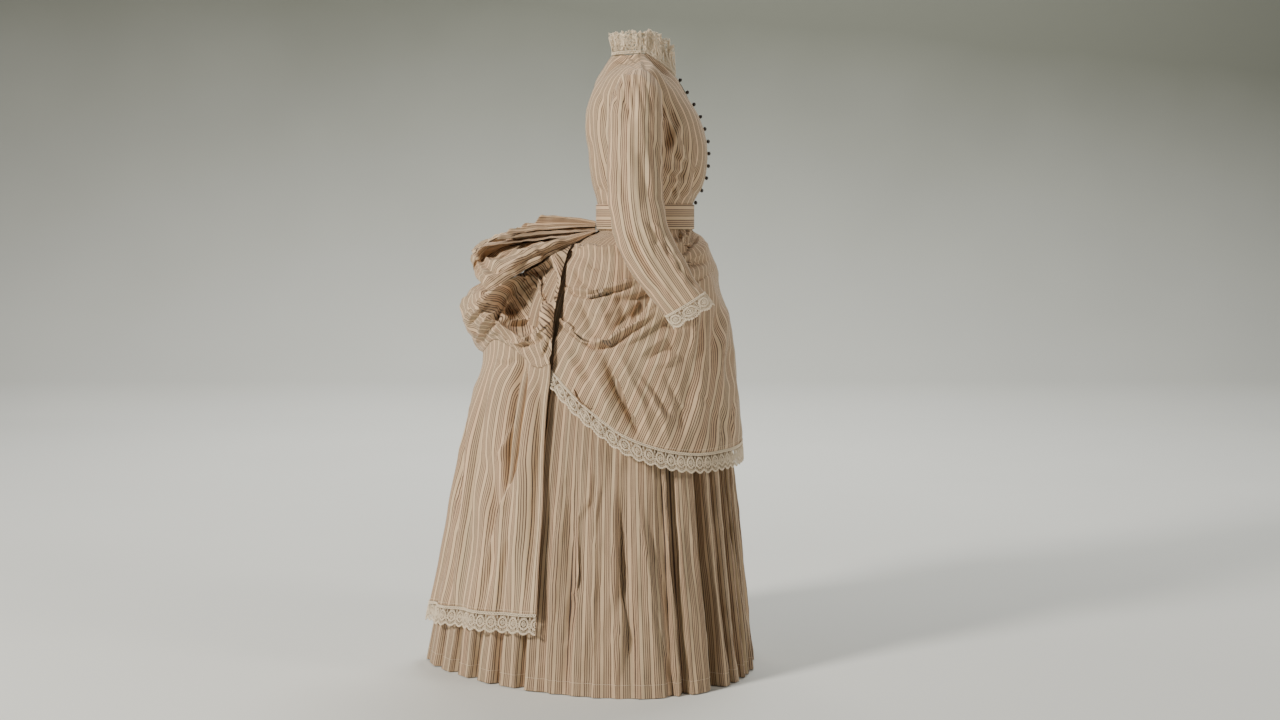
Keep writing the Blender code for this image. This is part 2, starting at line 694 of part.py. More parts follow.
def cuff_place(side, start):
    """Places half of a cuff lace on the end of the sleeve, from one side of the wrist to the other."""
    last, before = np.array(SLEEVE_RINGS[-1]), np.array(SLEEVE_RINGS[-2])
    run = (last - before)[:3]
    run /= np.linalg.norm(run)

    def place(along, down):
        turn = start + math.pi * (CUFF_PARTING + along / CUFF_CELLS * (1 - 2 * CUFF_PARTING))
        centre = last[:3] + run * (SEAM + down * CUFF_DROP)
        flare = 1 + CUFF_FLARE * down
        outward, ahead = np.array((0, last[3] * flare, last[4])), np.array((last[5] * flare, 0, last[6]))
        point = centre + outward * math.cos(turn) - side * ahead * math.sin(turn)
        return point * (1, side, 1)

    return place


# Collar: a standing frill of lace round the neckline, open at the centre front
COLLAR_HEIGHT = 0.046
COLLAR_FRONT_HEIGHT = 0.064
COLLAR_COLUMNS = 41
COLLAR_OPEN = 4
COLLAR_LIFT = 0.0014
COLLAR_ROWS = (1.0, 0.72, 0.36, 0.0)
# How far the frill waves and leans out, waists in, and falls back over the throat
FRILL_WAVES, FRILL_DEPTH = 15, 0.0022
FRILL_LEAN, FRILL_WAIST, FRILL_BACK = 0.003, 0.006, 0.011


def neckline(turn):
    """The neckline: turn 0 at the centre front, pi at the centre back, on the +Y side."""
    if turn < math.pi / 2:
        share = turn / (math.pi / 2)
        y = NECK_HALF * math.sin(turn)
        z = NECK_FRONT_Z + (NECK_TOP_Z - NECK_FRONT_Z) * (y / NECK_HALF) ** (1 / NECK_CURVE)
        return bodice_point(y, z, 1) + (SEAM / 2 * share, 0, 0)
    y = outer_edge(NECK_TOP_Z, -1) * math.sin(turn)
    return bodice_point(y, NECK_TOP_Z, -1)


def collar_point(turn, up):
    side = 1 if turn >= 0 else -1
    t = abs(turn)
    base = neckline(t)
    height = COLLAR_HEIGHT + (COLLAR_FRONT_HEIGHT - COLLAR_HEIGHT) * ease(t, 1.6, 0.5)
    front = ease(t, 1.6, 0.3)
    frill = FRILL_DEPTH * math.sin(FRILL_WAVES * t) * up
    lean = FRILL_LEAN * up - FRILL_WAIST * math.sin(math.pi * up) - FRILL_BACK * front * up
    away = np.array((math.cos(t), math.sin(t), 0.0))
    point = base + away * (lean + frill) + (0, 0, COLLAR_LIFT + up * height)
    return point * (1, side, 1)


def make_collar():
    turns = np.linspace(math.radians(COLLAR_OPEN), 2 * math.pi - math.radians(COLLAR_OPEN), COLLAR_COLUMNS)
    turns = [t if t <= math.pi else t - 2 * math.pi for t in turns]
    rows = [[collar_point(t, up) for t in turns] for up in COLLAR_ROWS]
    return cloth("lace_collar", rows, "cotton_lace", thickness=LACE)


# Buttons: small dark balls down the centre front, on the edge of the right front
BUTTONS = 11
BUTTON_RADIUS = 0.0046
BUTTON_FLAT = 0.78
BUTTON_TOP_Z = 0.297
BUTTON_LOW_Z = 0.033
BUTTON_Y = -0.0045


def front_edge(z):
    """The place and the outward direction of the front's cloth beside its edge at that height."""
    heights = bodice_heights()
    above = min(h for h in heights if h >= z)
    below = max(h for h in heights if h < z)
    high, low = bodice_point(abs(BUTTON_Y), above, 1), bodice_point(abs(BUTTON_Y), below, 1)
    place = low + (high - low) * (z - below) / (above - below)
    steep = math.atan2(low[0] - high[0], above - below)
    return place, np.array((math.cos(steep), 0, math.sin(steep)))


def make_buttons():
    for k in range(BUTTONS):
        z = BUTTON_TOP_Z + (BUTTON_LOW_Z - BUTTON_TOP_Z) * k / (BUTTONS - 1)
        place, outward = front_edge(z)
        mesh = bpy.data.meshes.new(f"button_{k + 1:02d}")
        shape = bmesh.new()
        bmesh.ops.create_uvsphere(shape, u_segments=6, v_segments=4, radius=BUTTON_RADIUS)
        bmesh.ops.scale(shape, vec=(1, 1, BUTTON_FLAT), verts=shape.verts)
        shape.to_mesh(mesh)
        shape.free()
        button = show(mesh.name, mesh, "dark_buttons")
        button.rotation_euler = (0, math.acos(outward[2]), 0)
        button.location = place * (1, 0, 1) + (0, BUTTON_Y, 0) + outward * (BUTTON_RADIUS * BUTTON_FLAT + SEAM)


for thing in list(bpy.data.objects):
    bpy.data.objects.remove(thing)
make_underskirt()
make_apron()
make_upper_puff()
make_lower_puff()
make_fan()
make_back_panel()
make_fronts()
make_bodice_back()
make_belt()
make_sleeves()
make_laces()
make_collar()
make_buttons()
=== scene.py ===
"""Looks of a two-piece bustle dress of striped cotton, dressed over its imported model.

Metres, +Z up, +X is the front of the dress and +Y its left side; the camera sees its right side.
One section a piece, in the order in which the dress is put together.
"""

import math

import bpy
import numpy as np
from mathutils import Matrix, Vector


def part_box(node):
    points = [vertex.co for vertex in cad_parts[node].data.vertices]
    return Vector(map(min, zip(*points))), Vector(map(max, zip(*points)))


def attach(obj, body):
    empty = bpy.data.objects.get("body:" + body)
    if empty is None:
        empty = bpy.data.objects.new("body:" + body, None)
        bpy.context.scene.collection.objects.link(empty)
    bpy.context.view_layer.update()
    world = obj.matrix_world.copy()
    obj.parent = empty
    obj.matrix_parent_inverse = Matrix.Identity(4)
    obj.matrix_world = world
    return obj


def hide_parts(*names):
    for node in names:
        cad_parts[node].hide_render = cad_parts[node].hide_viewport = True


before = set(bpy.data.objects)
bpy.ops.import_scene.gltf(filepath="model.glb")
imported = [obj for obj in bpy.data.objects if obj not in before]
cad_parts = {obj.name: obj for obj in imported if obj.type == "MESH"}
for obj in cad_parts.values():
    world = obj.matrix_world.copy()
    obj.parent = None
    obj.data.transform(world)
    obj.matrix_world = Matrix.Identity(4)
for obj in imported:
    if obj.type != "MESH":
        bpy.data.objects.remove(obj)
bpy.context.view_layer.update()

# Camera: it stands before the dress's right side, level with the waist, at the photograph's angle.
# The crease tables below give places in its frame, 1280 by 720.
CAMERA_X, CAMERA_Y, CAMERA_TILT = -0.0133, -4.0, 4.53
PIXELS, TILT = 1806.0, math.radians(CAMERA_TILT)
camera = bpy.data.objects.new("camera", bpy.data.cameras.new("camera"))
bpy.context.scene.collection.objects.link(camera)
camera.data.sensor_width = 36
camera.data.lens = 50.8
camera.location = (CAMERA_X, CAMERA_Y, 0.0)
camera.rotation_euler = (math.radians(90 - CAMERA_TILT), 0, 0)
bpy.context.scene.camera = camera

# Underskirt: a long skirt of striped cotton, pleated all round. It is sewn into the waist seam that
# the belt hides, hangs nearly to the floor, and has a hem turned up and stitched by machine.


def add(tree, kind, **settings):
    node = tree.nodes.new(kind)
    for key, value in settings.items():
        setattr(node, key, value)
    return node


def feed(tree, node, socket, value):
    """Sets a socket to a plain value, or links it to another node's output."""
    if isinstance(value, bpy.types.NodeSocket):
        tree.links.new(value, node.inputs[socket])
    else:
        node.inputs[socket].default_value = value


def calc(tree, operation, *values):
    node = add(tree, "ShaderNodeMath", operation=operation)
    for k, value in enumerate(values):
        feed(tree, node, k, value)
    return node.outputs[0]


def noise(tree, vector, scale, detail=3.0, roughness=0.55):
    node = add(tree, "ShaderNodeTexNoise")
    feed(tree, node, "Vector", vector)
    for key, value in (("Scale", scale), ("Detail", detail), ("Roughness", roughness)):
        node.inputs[key].default_value = value
    return node.outputs["Fac"]


def stretched(tree, vector, scale):
    node = add(tree, "ShaderNodeVectorMath", operation="MULTIPLY")
    feed(tree, node, 0, vector)
    node.inputs[1].default_value = scale
    return node.outputs[0]


def mixed(tree, blend, share, first, second):
    node = add(tree, "ShaderNodeMix", data_type="RGBA", blend_type=blend)
    feed(tree, node, "Factor", share)
    feed(tree, node, "A", first)
    feed(tree, node, "B", second)
    return node.outputs["Result"]


def new_group(name, inputs, outputs):
    tree = bpy.data.node_groups.new(name, "ShaderNodeTree")
    for label, kind, value in inputs:
        socket = tree.interface.new_socket(label, in_out="INPUT", socket_type=kind)
        if value is not None:
            socket.default_value = value
    for label, kind in outputs:
        tree.interface.new_socket(label, in_out="OUTPUT", socket_type=kind)
    return tree, tree.nodes.new("NodeGroupInput").outputs, tree.nodes.new("NodeGroupOutput").inputs


# Striped weave: u runs across the stripes and v along them, both in metres of cloth.
# Cream ground, and in each repeat a tan band that holds four fine dark lines.
REPEAT = 0.0225
CREAM, TAN, DARK = (0.665, 0.495, 0.318, 1), (0.555, 0.400, 0.256, 1), (0.090, 0.056, 0.038, 1)
# Stops of one repeat: place, colour
STRIPE_STOPS = (
    (0.000, CREAM), (0.290, CREAM), (0.312, DARK), (0.372, DARK), (0.394, TAN), (0.500, TAN),
    (0.522, DARK), (0.562, DARK), (0.584, TAN), (0.690, TAN), (0.712, DARK), (0.752, DARK),
    (0.774, TAN), (0.880, TAN), (0.902, DARK), (0.955, DARK), (0.977, TAN), (0.992, CREAM),
)
THREAD = 0.00085


def striped_weave():
    sockets = (
        ("Cloth", "NodeSocketVector", None),
        ("Repeat", "NodeSocketFloat", REPEAT),
        ("Soil", "NodeSocketFloat", 0.0),
    )
    outputs = (("Color", "NodeSocketColor"), ("Height", "NodeSocketFloat"), ("Roughness", "NodeSocketFloat"))
    tree, given, result = new_group("striped weave", sockets, outputs)
    parts = add(tree, "ShaderNodeSeparateXYZ")
    tree.links.new(given["Cloth"], parts.inputs[0])
    u, v = parts.outputs[0], parts.outputs[1]
    wander = noise(tree, stretched(tree, given["Cloth"], (30, 6, 1)), 1.0)
    drift = calc(tree, "MULTIPLY_ADD", wander, 0.0012, -0.0006)
    across = calc(tree, "DIVIDE", calc(tree, "ADD", u, drift), given["Repeat"])
    ramp = add(tree, "ShaderNodeValToRGB")
    tree.links.new(calc(tree, "FRACT", across), ramp.inputs[0])
    stops = ramp.color_ramp.elements
    while len(stops) < len(STRIPE_STOPS):
        stops.new(1.0)
    for stop, (place, colour) in zip(stops, STRIPE_STOPS):
        stop.position = place
        stop.color = colour
    slub = noise(tree, stretched(tree, given["Cloth"], (1800, 40, 1)), 1.0, 2.0)
    weft = noise(tree, stretched(tree, given["Cloth"], (50, 1500, 1)), 1.0, 2.0)
    worn = noise(tree, given["Cloth"], 7.0, 4.0)
    streaks = calc(tree, "MULTIPLY", calc(tree, "ADD", slub, weft), 0.5)
    tone = calc(tree, "ADD", calc(tree, "MULTIPLY", streaks, 0.34), calc(tree, "MULTIPLY", worn, 0.26))
    # This input lowers the tone evenly all over. It is painted shade, giving a darker, shaded copy of the
    # same cotton.
    tone = calc(tree, "SUBTRACT", calc(tree, "ADD", tone, 0.70), given["Soil"])
    shade = add(tree, "ShaderNodeCombineColor")
    for k in range(3):
        tree.links.new(tone, shade.inputs[k])
    bands = noise(tree, stretched(tree, given["Cloth"], (62, 1.5, 1)), 1.0, 1.0)
    tinged = mixed(tree, "MIX", bands, (1.12, 0.97, 0.92, 1), (0.82, 0.91, 0.90, 1))
    dyed = mixed(tree, "MULTIPLY", 1.0, ramp.outputs[0], tinged)
    tree.links.new(mixed(tree, "MULTIPLY", 1.0, dyed, shade.outputs[0]), result["Color"])
    warp = calc(tree, "SINE", calc(tree, "MULTIPLY", u, 2 * math.pi / THREAD))
    fill = calc(tree, "SINE", calc(tree, "MULTIPLY", v, 2 * math.pi / THREAD))
    weave = calc(tree, "MULTIPLY", warp, fill)
    crumple = noise(tree, given["Cloth"], 46.0, 4.0, 0.62)
    rumple = noise(tree, stretched(tree, given["Cloth"], (24, 13, 1)), 1.0, 3.0)
    height = calc(tree, "ADD", calc(tree, "MULTIPLY", weave, 0.05), calc(tree, "MULTIPLY", crumple, 1.1))
    height = calc(tree, "ADD", height, calc(tree, "MULTIPLY", rumple, 2.2))
    tree.links.new(height, result["Height"])
    tree.links.new(calc(tree, "MULTIPLY_ADD", worn, 0.12, 0.78), result["Roughness"])
    return tree


WEAVE = striped_weave()


def new_material(name, roughness, sheen=0.0):
    made = bpy.data.materials.new(name)
    made.use_nodes = True
    shader = made.node_tree.nodes["Principled BSDF"]
    shader.inputs["Roughness"].default_value = roughness
    shader.inputs["Sheen Weight"].default_value = sheen
    shader.inputs["Sheen Roughness"].default_value = 0.5
    return made, made.node_tree, shader


def covered(name, group, roughness, sheen, raise_by, raise_distance, **values):
    """A material whose colour and relief come from a node group laid on the cloth coordinates."""
    made, tree, shader = new_material(name, roughness, sheen)
    layer = add(tree, "ShaderNodeUVMap", uv_map="cloth")
    over = add(tree, "ShaderNodeGroup")
    over.node_tree = group
    for label, value in values.items():
        over.inputs[label].default_value = value
    tree.links.new(layer.outputs[0], over.inputs[0])
    for given, socket in (("Color", "Base Color"), ("Roughness", "Roughness")):
        if given in over.outputs:
            tree.links.new(over.outputs[given], shader.inputs[socket])
    raised = add(tree, "ShaderNodeBump")
    raised.inputs["Strength"].default_value = raise_by
    raised.inputs["Distance"].default_value = raise_distance
    tree.links.new(over.outputs["Height"], raised.inputs["Height"])
    tree.links.new(raised.outputs[0], shader.inputs["Normal"])
    return made


def cotton(name, raise_by, raise_distance, painted_shade=0.0):
    return covered(name, WEAVE, 0.85, 0.12, raise_by, raise_distance, Repeat=REPEAT, Soil=painted_shade)


# The underskirt's cotton is the same cotton with painted shade: its tone is lowered by 0.17 all over.
SKIRT_COTTON = cotton("skirt cotton", 0.60, 0.0013, 0.17)


# Tables become smooth curves, and coarse grids of points fine ones
def smooth(table, column):
    rows = sorted(table)
    at = np.array([row[0] for row in rows], float)
    value = np.array([row[column] for row in rows], float)
    slope = np.gradient(value, at)

    def read(x):
        x = min(max(float(x), at[0]), at[-1])
        i = int(np.clip(np.searchsorted(at, x) - 1, 0, len(at) - 2))
        step = at[i + 1] - at[i]
        t = (x - at[i]) / step
        rise = (2 * t**3 - 3 * t**2 + 1) * value[i] + (3 * t**2 - 2 * t**3) * value[i + 1]
        return float(rise + step * ((t**3 - 2 * t**2 + t) * slope[i] + (t**3 - t**2) * slope[i + 1]))

    return read


def ease(x, low, high):
    t = np.clip((x - low) / (high - low), 0.0, 1.0)
    return t * t * (3 - 2 * t)


def power(value, exponent):
    return math.copysign(abs(value) ** exponent, value)


def through(knots, values, at):
    """Reads smooth curves through values, given at the knots, at the places wanted."""
    slope = np.gradient(values, knots, axis=0)
    i = np.clip(np.searchsorted(knots, at, side="right") - 1, 0, len(knots) - 2)
    shape = (-1,) + (1,) * (values.ndim - 1)
    step = (knots[i + 1] - knots[i]).reshape(shape)
    t = ((at - knots[i]) / (knots[i + 1] - knots[i])).reshape(shape)
    start = (2 * t**3 - 3 * t**2 + 1) * values[i] + (t**3 - 2 * t**2 + t) * step * slope[i]
    return start + (3 * t**2 - 2 * t**3) * values[i + 1] + (t**3 - t**2) * step * slope[i + 1]


def run_along(line):
    """Length of a line of points from its first one to each."""
    return np.concatenate([[0.0], np.cumsum(np.linalg.norm(np.diff(line, axis=0), axis=1))])


def read_along(at, run, values):
    """Points given at lengths along a line, read at other lengths."""
    return np.stack([np.interp(at, run, values[:, axis]) for axis in range(3)], axis=-1)


def runs(points, axis):
    """Mean length of cloth from the first row or column to each other one."""
    steps = np.linalg.norm(np.diff(points, axis=axis), axis=2).mean(axis=1 - axis)
    return np.concatenate([[0.0], np.cumsum(steps)])


def fine(grid, rows, columns, closed=False, even_rows=True):
    """A fine grid of points on the smooth surface through a coarse one, its top row first."""
    grid = np.array(grid, float)
    knots = runs(grid, 0) if even_rows else np.arange(len(grid), dtype=float)
    grid = through(knots, grid, np.linspace(0, knots[-1], rows))
    if closed:
        grid = np.concatenate([grid[:, -2:], grid, grid[:, :3]], axis=1)
    knots = runs(grid, 1)
    if closed:
        at = np.linspace(knots[2], knots[-3], columns + 1)[:-1]
    else:
        at = np.linspace(0, knots[-1], columns)
    return np.moveaxis(through(knots, np.moveaxis(grid, 1, 0), at), 1, 0)


def outward(points, closed=False):
    """Unit normals of a grid, out of the cloth's face."""
    down = np.gradient(points, axis=0)
    if closed:
        wide = np.concatenate([points[:, -1:], points, points[:, :1]], axis=1)
        right = (wide[:, 2:] - wide[:, :-2]) / 2
    else:
        right = np.gradient(points, axis=1)
    normal = np.cross(down, right)
    return normal / np.maximum(np.linalg.norm(normal, axis=2, keepdims=True), 1e-12)


def ruffle(points, size, reach, seed):
    """Soft seeded unevenness, between about -size and size, whose waves are about reach long."""
    wild = np.random.default_rng(seed)
    total = np.zeros(points.shape[:-1])
    for _ in range(9):
        way = wild.normal(size=3)
        way *= wild.uniform(0.6, 1.6) * 2 * math.pi / reach / np.linalg.norm(way)
        total += np.sin(points @ way + wild.uniform(0, 2 * math.pi))
    return total * size / 4.5


def crumple(points, size, reach, seed):
    """Sharp seeded creases of crushed cloth: ridges about reach apart and size high."""
    wild = np.random.default_rng(seed)
    total = np.zeros(points.shape[:-1])
    bent = points + 0.16 * reach * np.sin(points[..., ::-1] * 2.2 * math.pi / reach + seed)
    for k in range(6):
        way = wild.normal(size=3)
        way *= wild.uniform(0.5, 1.5) * math.pi / reach / np.linalg.norm(way)
        total += (1 - 2.2 * np.abs(np.sin(bent @ way + wild.uniform(0, math.pi)))) / (1 + 0.25 * k)
    return total * size / 3.2


CREASE_FULL, CREASE_END = 1.5, 0.12
# How far the other side's creases are shifted, in the frame, and how their height and width change
OTHER_SHIFT, OTHER_HEIGHT, OTHER_WIDTH = (4.0, -5.0), 0.85, 1.15
LIP_SHORT, LIP_LONG = 0.45, 1.9


def seen(points):
    """Where points of the right side lie in the frame, across and down, and one step's metres."""
    away = points[..., 1] - CAMERA_Y
    ahead = away * math.cos(TILT) - points[..., 2] * math.sin(TILT)
    down = -points[..., 2] * math.cos(TILT) - away * math.sin(TILT)
    across = 640 + PIXELS * (points[..., 0] - CAMERA_X) / ahead
    return np.stack([across, 360 + PIXELS * down / ahead], axis=-1), ahead / PIXELS


def press(points, creases, closed=False, sides=(-1, 1)):
    """Sinks soft troughs and raises ridges, each placed in the frame: height, width, kind, path.

    Heights and widths are millimetres. A soft crease is even, and a lip falls off sharply to the
    right of its path. The left side has like ones, a little changed, seen from its own side.
    """
    normals = outward(points, closed)
    moved = np.zeros(points.shape[:2])
    for side, (height, width, kind, path) in ((s, c) for s in sides for c in creases):
        height *= CREASE_FULL
        near = points * (1, -side, 1)
        place, step = seen(near)
        if side > 0:
            place = place + OTHER_SHIFT
            height, width = height * OTHER_HEIGHT, width * OTHER_WIDTH
        height, width = height / 1000, width / 1000 / step.mean()
        facing = ease(normals[..., 1] * side, -0.05, 0.25) * ease(points[..., 1] * side, -0.01, 0.03)
        path = np.array(path, float)
        lengths = np.linalg.norm(np.diff(path, axis=0), axis=1)
        total = lengths.sum()
        best = np.full(points.shape[:2], 9999.0)
        along = np.zeros(points.shape[:2])
        signed = np.zeros(points.shape[:2])
        start = 0.0
        for a, b, length in zip(path, path[1:], lengths):
            way = (b - a) / length
            local = place - a
            t = np.clip(local @ way, 0, length)
            away = local - t[..., None] * way
            distance = np.linalg.norm(away, axis=-1)
            nearer = distance < best
            best = np.where(nearer, distance, best)
            along = np.where(nearer, (start + t) / total, along)
            hand = np.sign(away[..., 1] * way[0] - away[..., 0] * way[1])
            signed = np.where(nearer, hand * distance, signed)
            start += length
        q = signed / width
        if kind == "lip":
            shape = np.exp(-(q / np.where(q > 0, LIP_SHORT, LIP_LONG)) ** 2)
        else:
            shape = np.exp(-q * q)
        taper = 1 - np.abs(2 * along - 1) ** 3
        moved += height * shape * np.maximum(taper, CREASE_END) * facing
    return points + normals * moved[..., None]


def four_corners(grid):
    """The corners of each face of a grid, the same way round."""
    return np.stack([grid[:-1, :-1], grid[1:, :-1], grid[1:, 1:], grid[:-1, 1:]], axis=2)


def made_piece(name, points, faces, marks, finish):
    """One object of four-cornered faces. Marks are the cloth coordinates of each face's corners."""
    mesh = bpy.data.meshes.new(name)
    mesh.from_pydata(points.reshape(-1, 3).tolist(), [], faces.reshape(-1, 4).tolist())
    layer = mesh.uv_layers.new(name="cloth")
    layer.data.foreach_set("uv", marks.reshape(-1).astype(np.float32))
    mesh.materials.append(finish)
    mesh.shade_smooth()
    piece = bpy.data.objects.new(name, mesh)
    bpy.context.scene.collection.objects.link(piece)
    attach(piece, "root")
    return piece


def cloth(name, grids, finish, node, closed=False):
    """Sheets of cloth, each a fine grid of points and its uv, which has one more column if closed."""
    points, faces, marks, base = [], [], [], 0
    for grid, uv in grids:
        index = base + np.arange(grid.shape[0] * grid.shape[1]).reshape(grid.shape[:2])
        base += index.size
        if closed:
            index = np.concatenate([index, index[:, :1]], axis=1)
        points.append(grid.reshape(-1, 3))
        faces.append(four_corners(index).reshape(-1, 4))
        marks.append(four_corners(uv).reshape(-1, 2))
    piece = made_piece(name, *(np.concatenate(each) for each in (points, faces, marks)), finish)
    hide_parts(node)
    return piece


def cloth_uv(points, row, closed=False):
    """Cloth coordinates: u along one row of the grid, v down it, in metres."""
    line = points[row]
    if closed:
        line = np.concatenate([line, line[:1]])
    return np.stack(np.broadcast_arrays(run_along(line)[None, :], -runs(points, 0)[:, None]), axis=-1)


# Skirt form, in the same named sizes as the solids
WAIST_FRONT, WAIST_BACK, WAIST_HALF, WAIST_MID, WAIST_ROUND = 0.1035, -0.1075, 0.1170, -0.004, 2.2
HEM_Z = -0.988
#  z, front, back, half, mid, round
SKIRT_FORM = (
    (-0.006, 0.1000, -0.1040, 0.1135, -0.004, 2.2),
    (-0.029, 0.1000, -0.1040, 0.1135, -0.004, 2.2),
    (-0.045, 0.1100, -0.150, 0.1320, -0.010, 2.1),
    (-0.070, 0.1260, -0.205, 0.1520, -0.025, 2.0),
    (-0.100, 0.1380, -0.250, 0.1680, -0.035, 2.0),
    (-0.150, 0.1500, -0.292, 0.1830, -0.040, 2.0),
    (-0.200, 0.1580, -0.316, 0.1930, -0.045, 2.0),
    (-0.300, 0.1780, -0.344, 0.2120, -0.050, 2.0),
    (-0.400, 0.1890, -0.370, 0.2320, -0.050, 1.95),
    (-0.500, 0.1950, -0.396, 0.2520, -0.050, 1.85),
    (-0.600, 0.2025, -0.418, 0.2720, -0.050, 1.75),
    (-0.700, 0.2135, -0.438, 0.2920, -0.050, 1.70),
    (-0.800, 0.2245, -0.457, 0.3140, -0.050, 1.65),
    (-0.900, 0.2355, -0.478, 0.3380, -0.050, 1.60),
    (HEM_Z, 0.2440, -0.494, 0.3560, -0.050, 1.55),
)
FORM = [smooth(SKIRT_FORM, column) for column in range(1, 6)]


def oval(angle, front, back, half, mid, blunt_front, blunt_back, out=0.0):
    """A point of a rounded outline, 0 at the front and pi at the back, moved out square to it."""
    c, s = math.cos(angle), math.sin(angle)
    reach = front - mid if c > 0 else mid - back
    blunt = blunt_front if c > 0 else blunt_back
    x, y = reach * power(c, 2 / blunt), half * power(s, 2 / blunt)
    nx = power(x / reach, blunt - 1) / reach
    ny = power(y / half, blunt - 1) / half
    size = math.hypot(nx, ny)
    return np.array((mid + x + out * nx / size, y + out * ny / size))


def form_point(z, angle, out):
    front, back, half, mid, blunt = (read(z) for read in FORM)
    return np.append(oval(angle, front, back, half, mid, WAIST_ROUND, blunt, out), z)


# Pleats: deep uneven ones in front, shallow ones at the sides, wide ones behind
#  share of the half girth, depth, gentle width behind it, steep width before it
FRONT_PLEATS = (
    (0.026, 0.024, 0.020, 0.007),
    (0.066, 0.027, 0.019, 0.007),
    (0.106, 0.030, 0.021, 0.008),
    (0.141, 0.027, 0.015, 0.007),
    (0.171, 0.031, 0.020, 0.008),
    (0.213, 0.030, 0.017, 0.008),
    (0.252, 0.038, 0.034, 0.009),
    (0.337, 0.024, 0.019, 0.008),
    (0.367, 0.013, 0.017, 0.008),
)
SIDE_PLEATS = tuple((0.442 + 0.044 * k, 0.006, 0.034, 0.010) for k in range(5))
BACK_PLEATS = tuple((0.672 + 0.060 * k, 0.022, 0.016, 0.010) for k in range(6))
SKIRT_HEIGHTS = (-0.006, -0.029, -0.045, -0.070, -0.100, -0.150, -0.320, -0.520, -0.745, HEM_Z)
PLEAT_OPENING = ((HEM_Z, 1.0), (-0.745, 0.94), (-0.520, 0.80), (-0.320, 0.42), (-0.150, 0.16), (-0.006, 0.02))
SKIRT_ROWS, SKIRT_COLUMNS = 118, 760


def pleat_depth(share):
    depth = np.zeros_like(share)
    for at, deep, behind, before in FRONT_PLEATS + SIDE_PLEATS + BACK_PLEATS:
        off = share - at
        fall = np.where(off > 0, ease(off, 0, behind), ease(-off, 0, before))
        depth = np.maximum(depth, deep * (1 - fall))
    return depth


# Creases of the underskirt, in millimetres and in the photograph's frame: height, width, kind, path
SKIRT_CREASES = (
    (3.5, 6, "lip", ((590, 466), (589, 496), (574, 520))),
    (-3.0, 8, "soft", ((596, 470), (594, 500), (580, 524))),
    (4.5, 8, "lip", ((607, 486), (599, 524), (600, 580))),
    (-8.0, 6, "soft", ((620, 500), (623, 560), (628, 660))),
    (4.5, 9, "lip", ((636, 500), (648, 572), (664, 640), (678, 694))),
    (-5.0, 10, "soft", ((606, 484), (601, 512), (594, 546))),
    (-4.0, 14, "soft", ((626, 572), (618, 600), (607, 630), (604, 660))),
    (5.0, 14, "soft", ((634, 560), (628, 600), (620, 640), (618, 680))),
    (-5.0, 12, "soft", ((578, 470), (580, 540), (584, 600), (582, 650))),
    (4.0, 10, "soft", ((570, 560), (566, 600), (562, 660), (562, 690))),
    (-2.5, 5, "soft", ((640, 676), (648, 680), (660, 683))),
    (2.5, 4, "soft", ((574, 676), (580, 682), (590, 684))),
    (-6.0, 14, "soft", ((621, 470), (622, 540), (628, 600), (636, 690))),
    (5.0, 12, "soft", ((612, 480), (612, 560), (610, 640), (612, 690))),
    (-5.0, 12, "soft", ((602, 500), (600, 580), (594, 660), (592, 694))),
    (4.5, 11, "soft", ((598, 480), (592, 560), (584, 640), (580, 692))),
    (-6.0, 12, "soft", ((566, 460), (570, 520), (572, 600), (566, 690))),
    (5.0, 10, "soft", ((556, 480), (556, 560), (552, 640), (548, 690))),
    (-5.0, 12, "soft", ((647, 500), (652, 560), (662, 630), (668, 690))),
    (4.0, 10, "soft", ((640, 480), (646, 560), (655, 640), (660, 692))),
    (-4.0, 10, "soft", ((580, 540), (576, 600), (577, 650))),
)


def underskirt():
    opening = smooth(PLEAT_OPENING, 1)
    places = np.linspace(0, 1, SKIRT_COLUMNS // 2 + 1)
    line = list(zip(places, pleat_depth(places)))
    rows = []
    for z in SKIRT_HEIGHTS:
        angles = np.linspace(0, math.pi, 240)
        outline = np.array([form_point(z, a, 0.0)[:2] for a in angles])
        run = run_along(outline)
        left = [form_point(z, np.interp(at, run / run[-1], angles), -deep * opening(z)) for at, deep in line]
        rows.append(left + [p * (1, -1, 1) for p in left[-2:0:-1]])
    points = fine(rows, SKIRT_ROWS, SKIRT_COLUMNS, closed=True)
    uv = cloth_uv(points, -1, closed=True)
    low = ease(-points[..., 2], 0.15, 0.6)
    gathers = crumple(points * (1, 1, 0.10), 0.0030, 0.045, 6)
    gathers += crumple(points * (1, 1, 0.2), 0.0016, 0.022, 7)
    uneven = ruffle(points * (1, 1, 0.35), 0.0026, 0.12, 5) + gathers
    points += outward(points, True) * (uneven * low)[..., None]
    points = press(points, SKIRT_CREASES, closed=True)
    return cloth("underskirt_cloth", [(points, uv)], SKIRT_COTTON, "underskirt", closed=True)


SKIRT = underskirt()


# Thread of the stitches and the lace: u runs along it and v round it, both in metres
def twisted_yarn():
    sockets = (("Yarn", "NodeSocketVector", None),)
    tree, given, result = new_group(
        "twisted yarn", sockets, (("Color", "NodeSocketColor"), ("Height", "NodeSocketFloat")))
    parts = add(tree, "ShaderNodeSeparateXYZ")
    tree.links.new(given["Yarn"], parts.inputs[0])
    around = calc(tree, "MULTIPLY", parts.outputs[1], 2600)
    turn = calc(tree, "ADD", calc(tree, "MULTIPLY", parts.outputs[0], 3900), around)
    twist = calc(tree, "SINE", turn)
    aged = noise(tree, stretched(tree, given["Yarn"], (60, 60, 1)), 1.0, 3.0)
    tone = mixed(tree, "MIX", aged, (0.90, 0.765, 0.570, 1), (0.78, 0.640, 0.455, 1))
    tree.links.new(tone, result["Color"])
    tree.links.new(twist, result["Height"])
    return tree


LACE_YARN = covered("lace yarn", twisted_yarn(), 0.88, 0.1, 0.5, 0.0003)


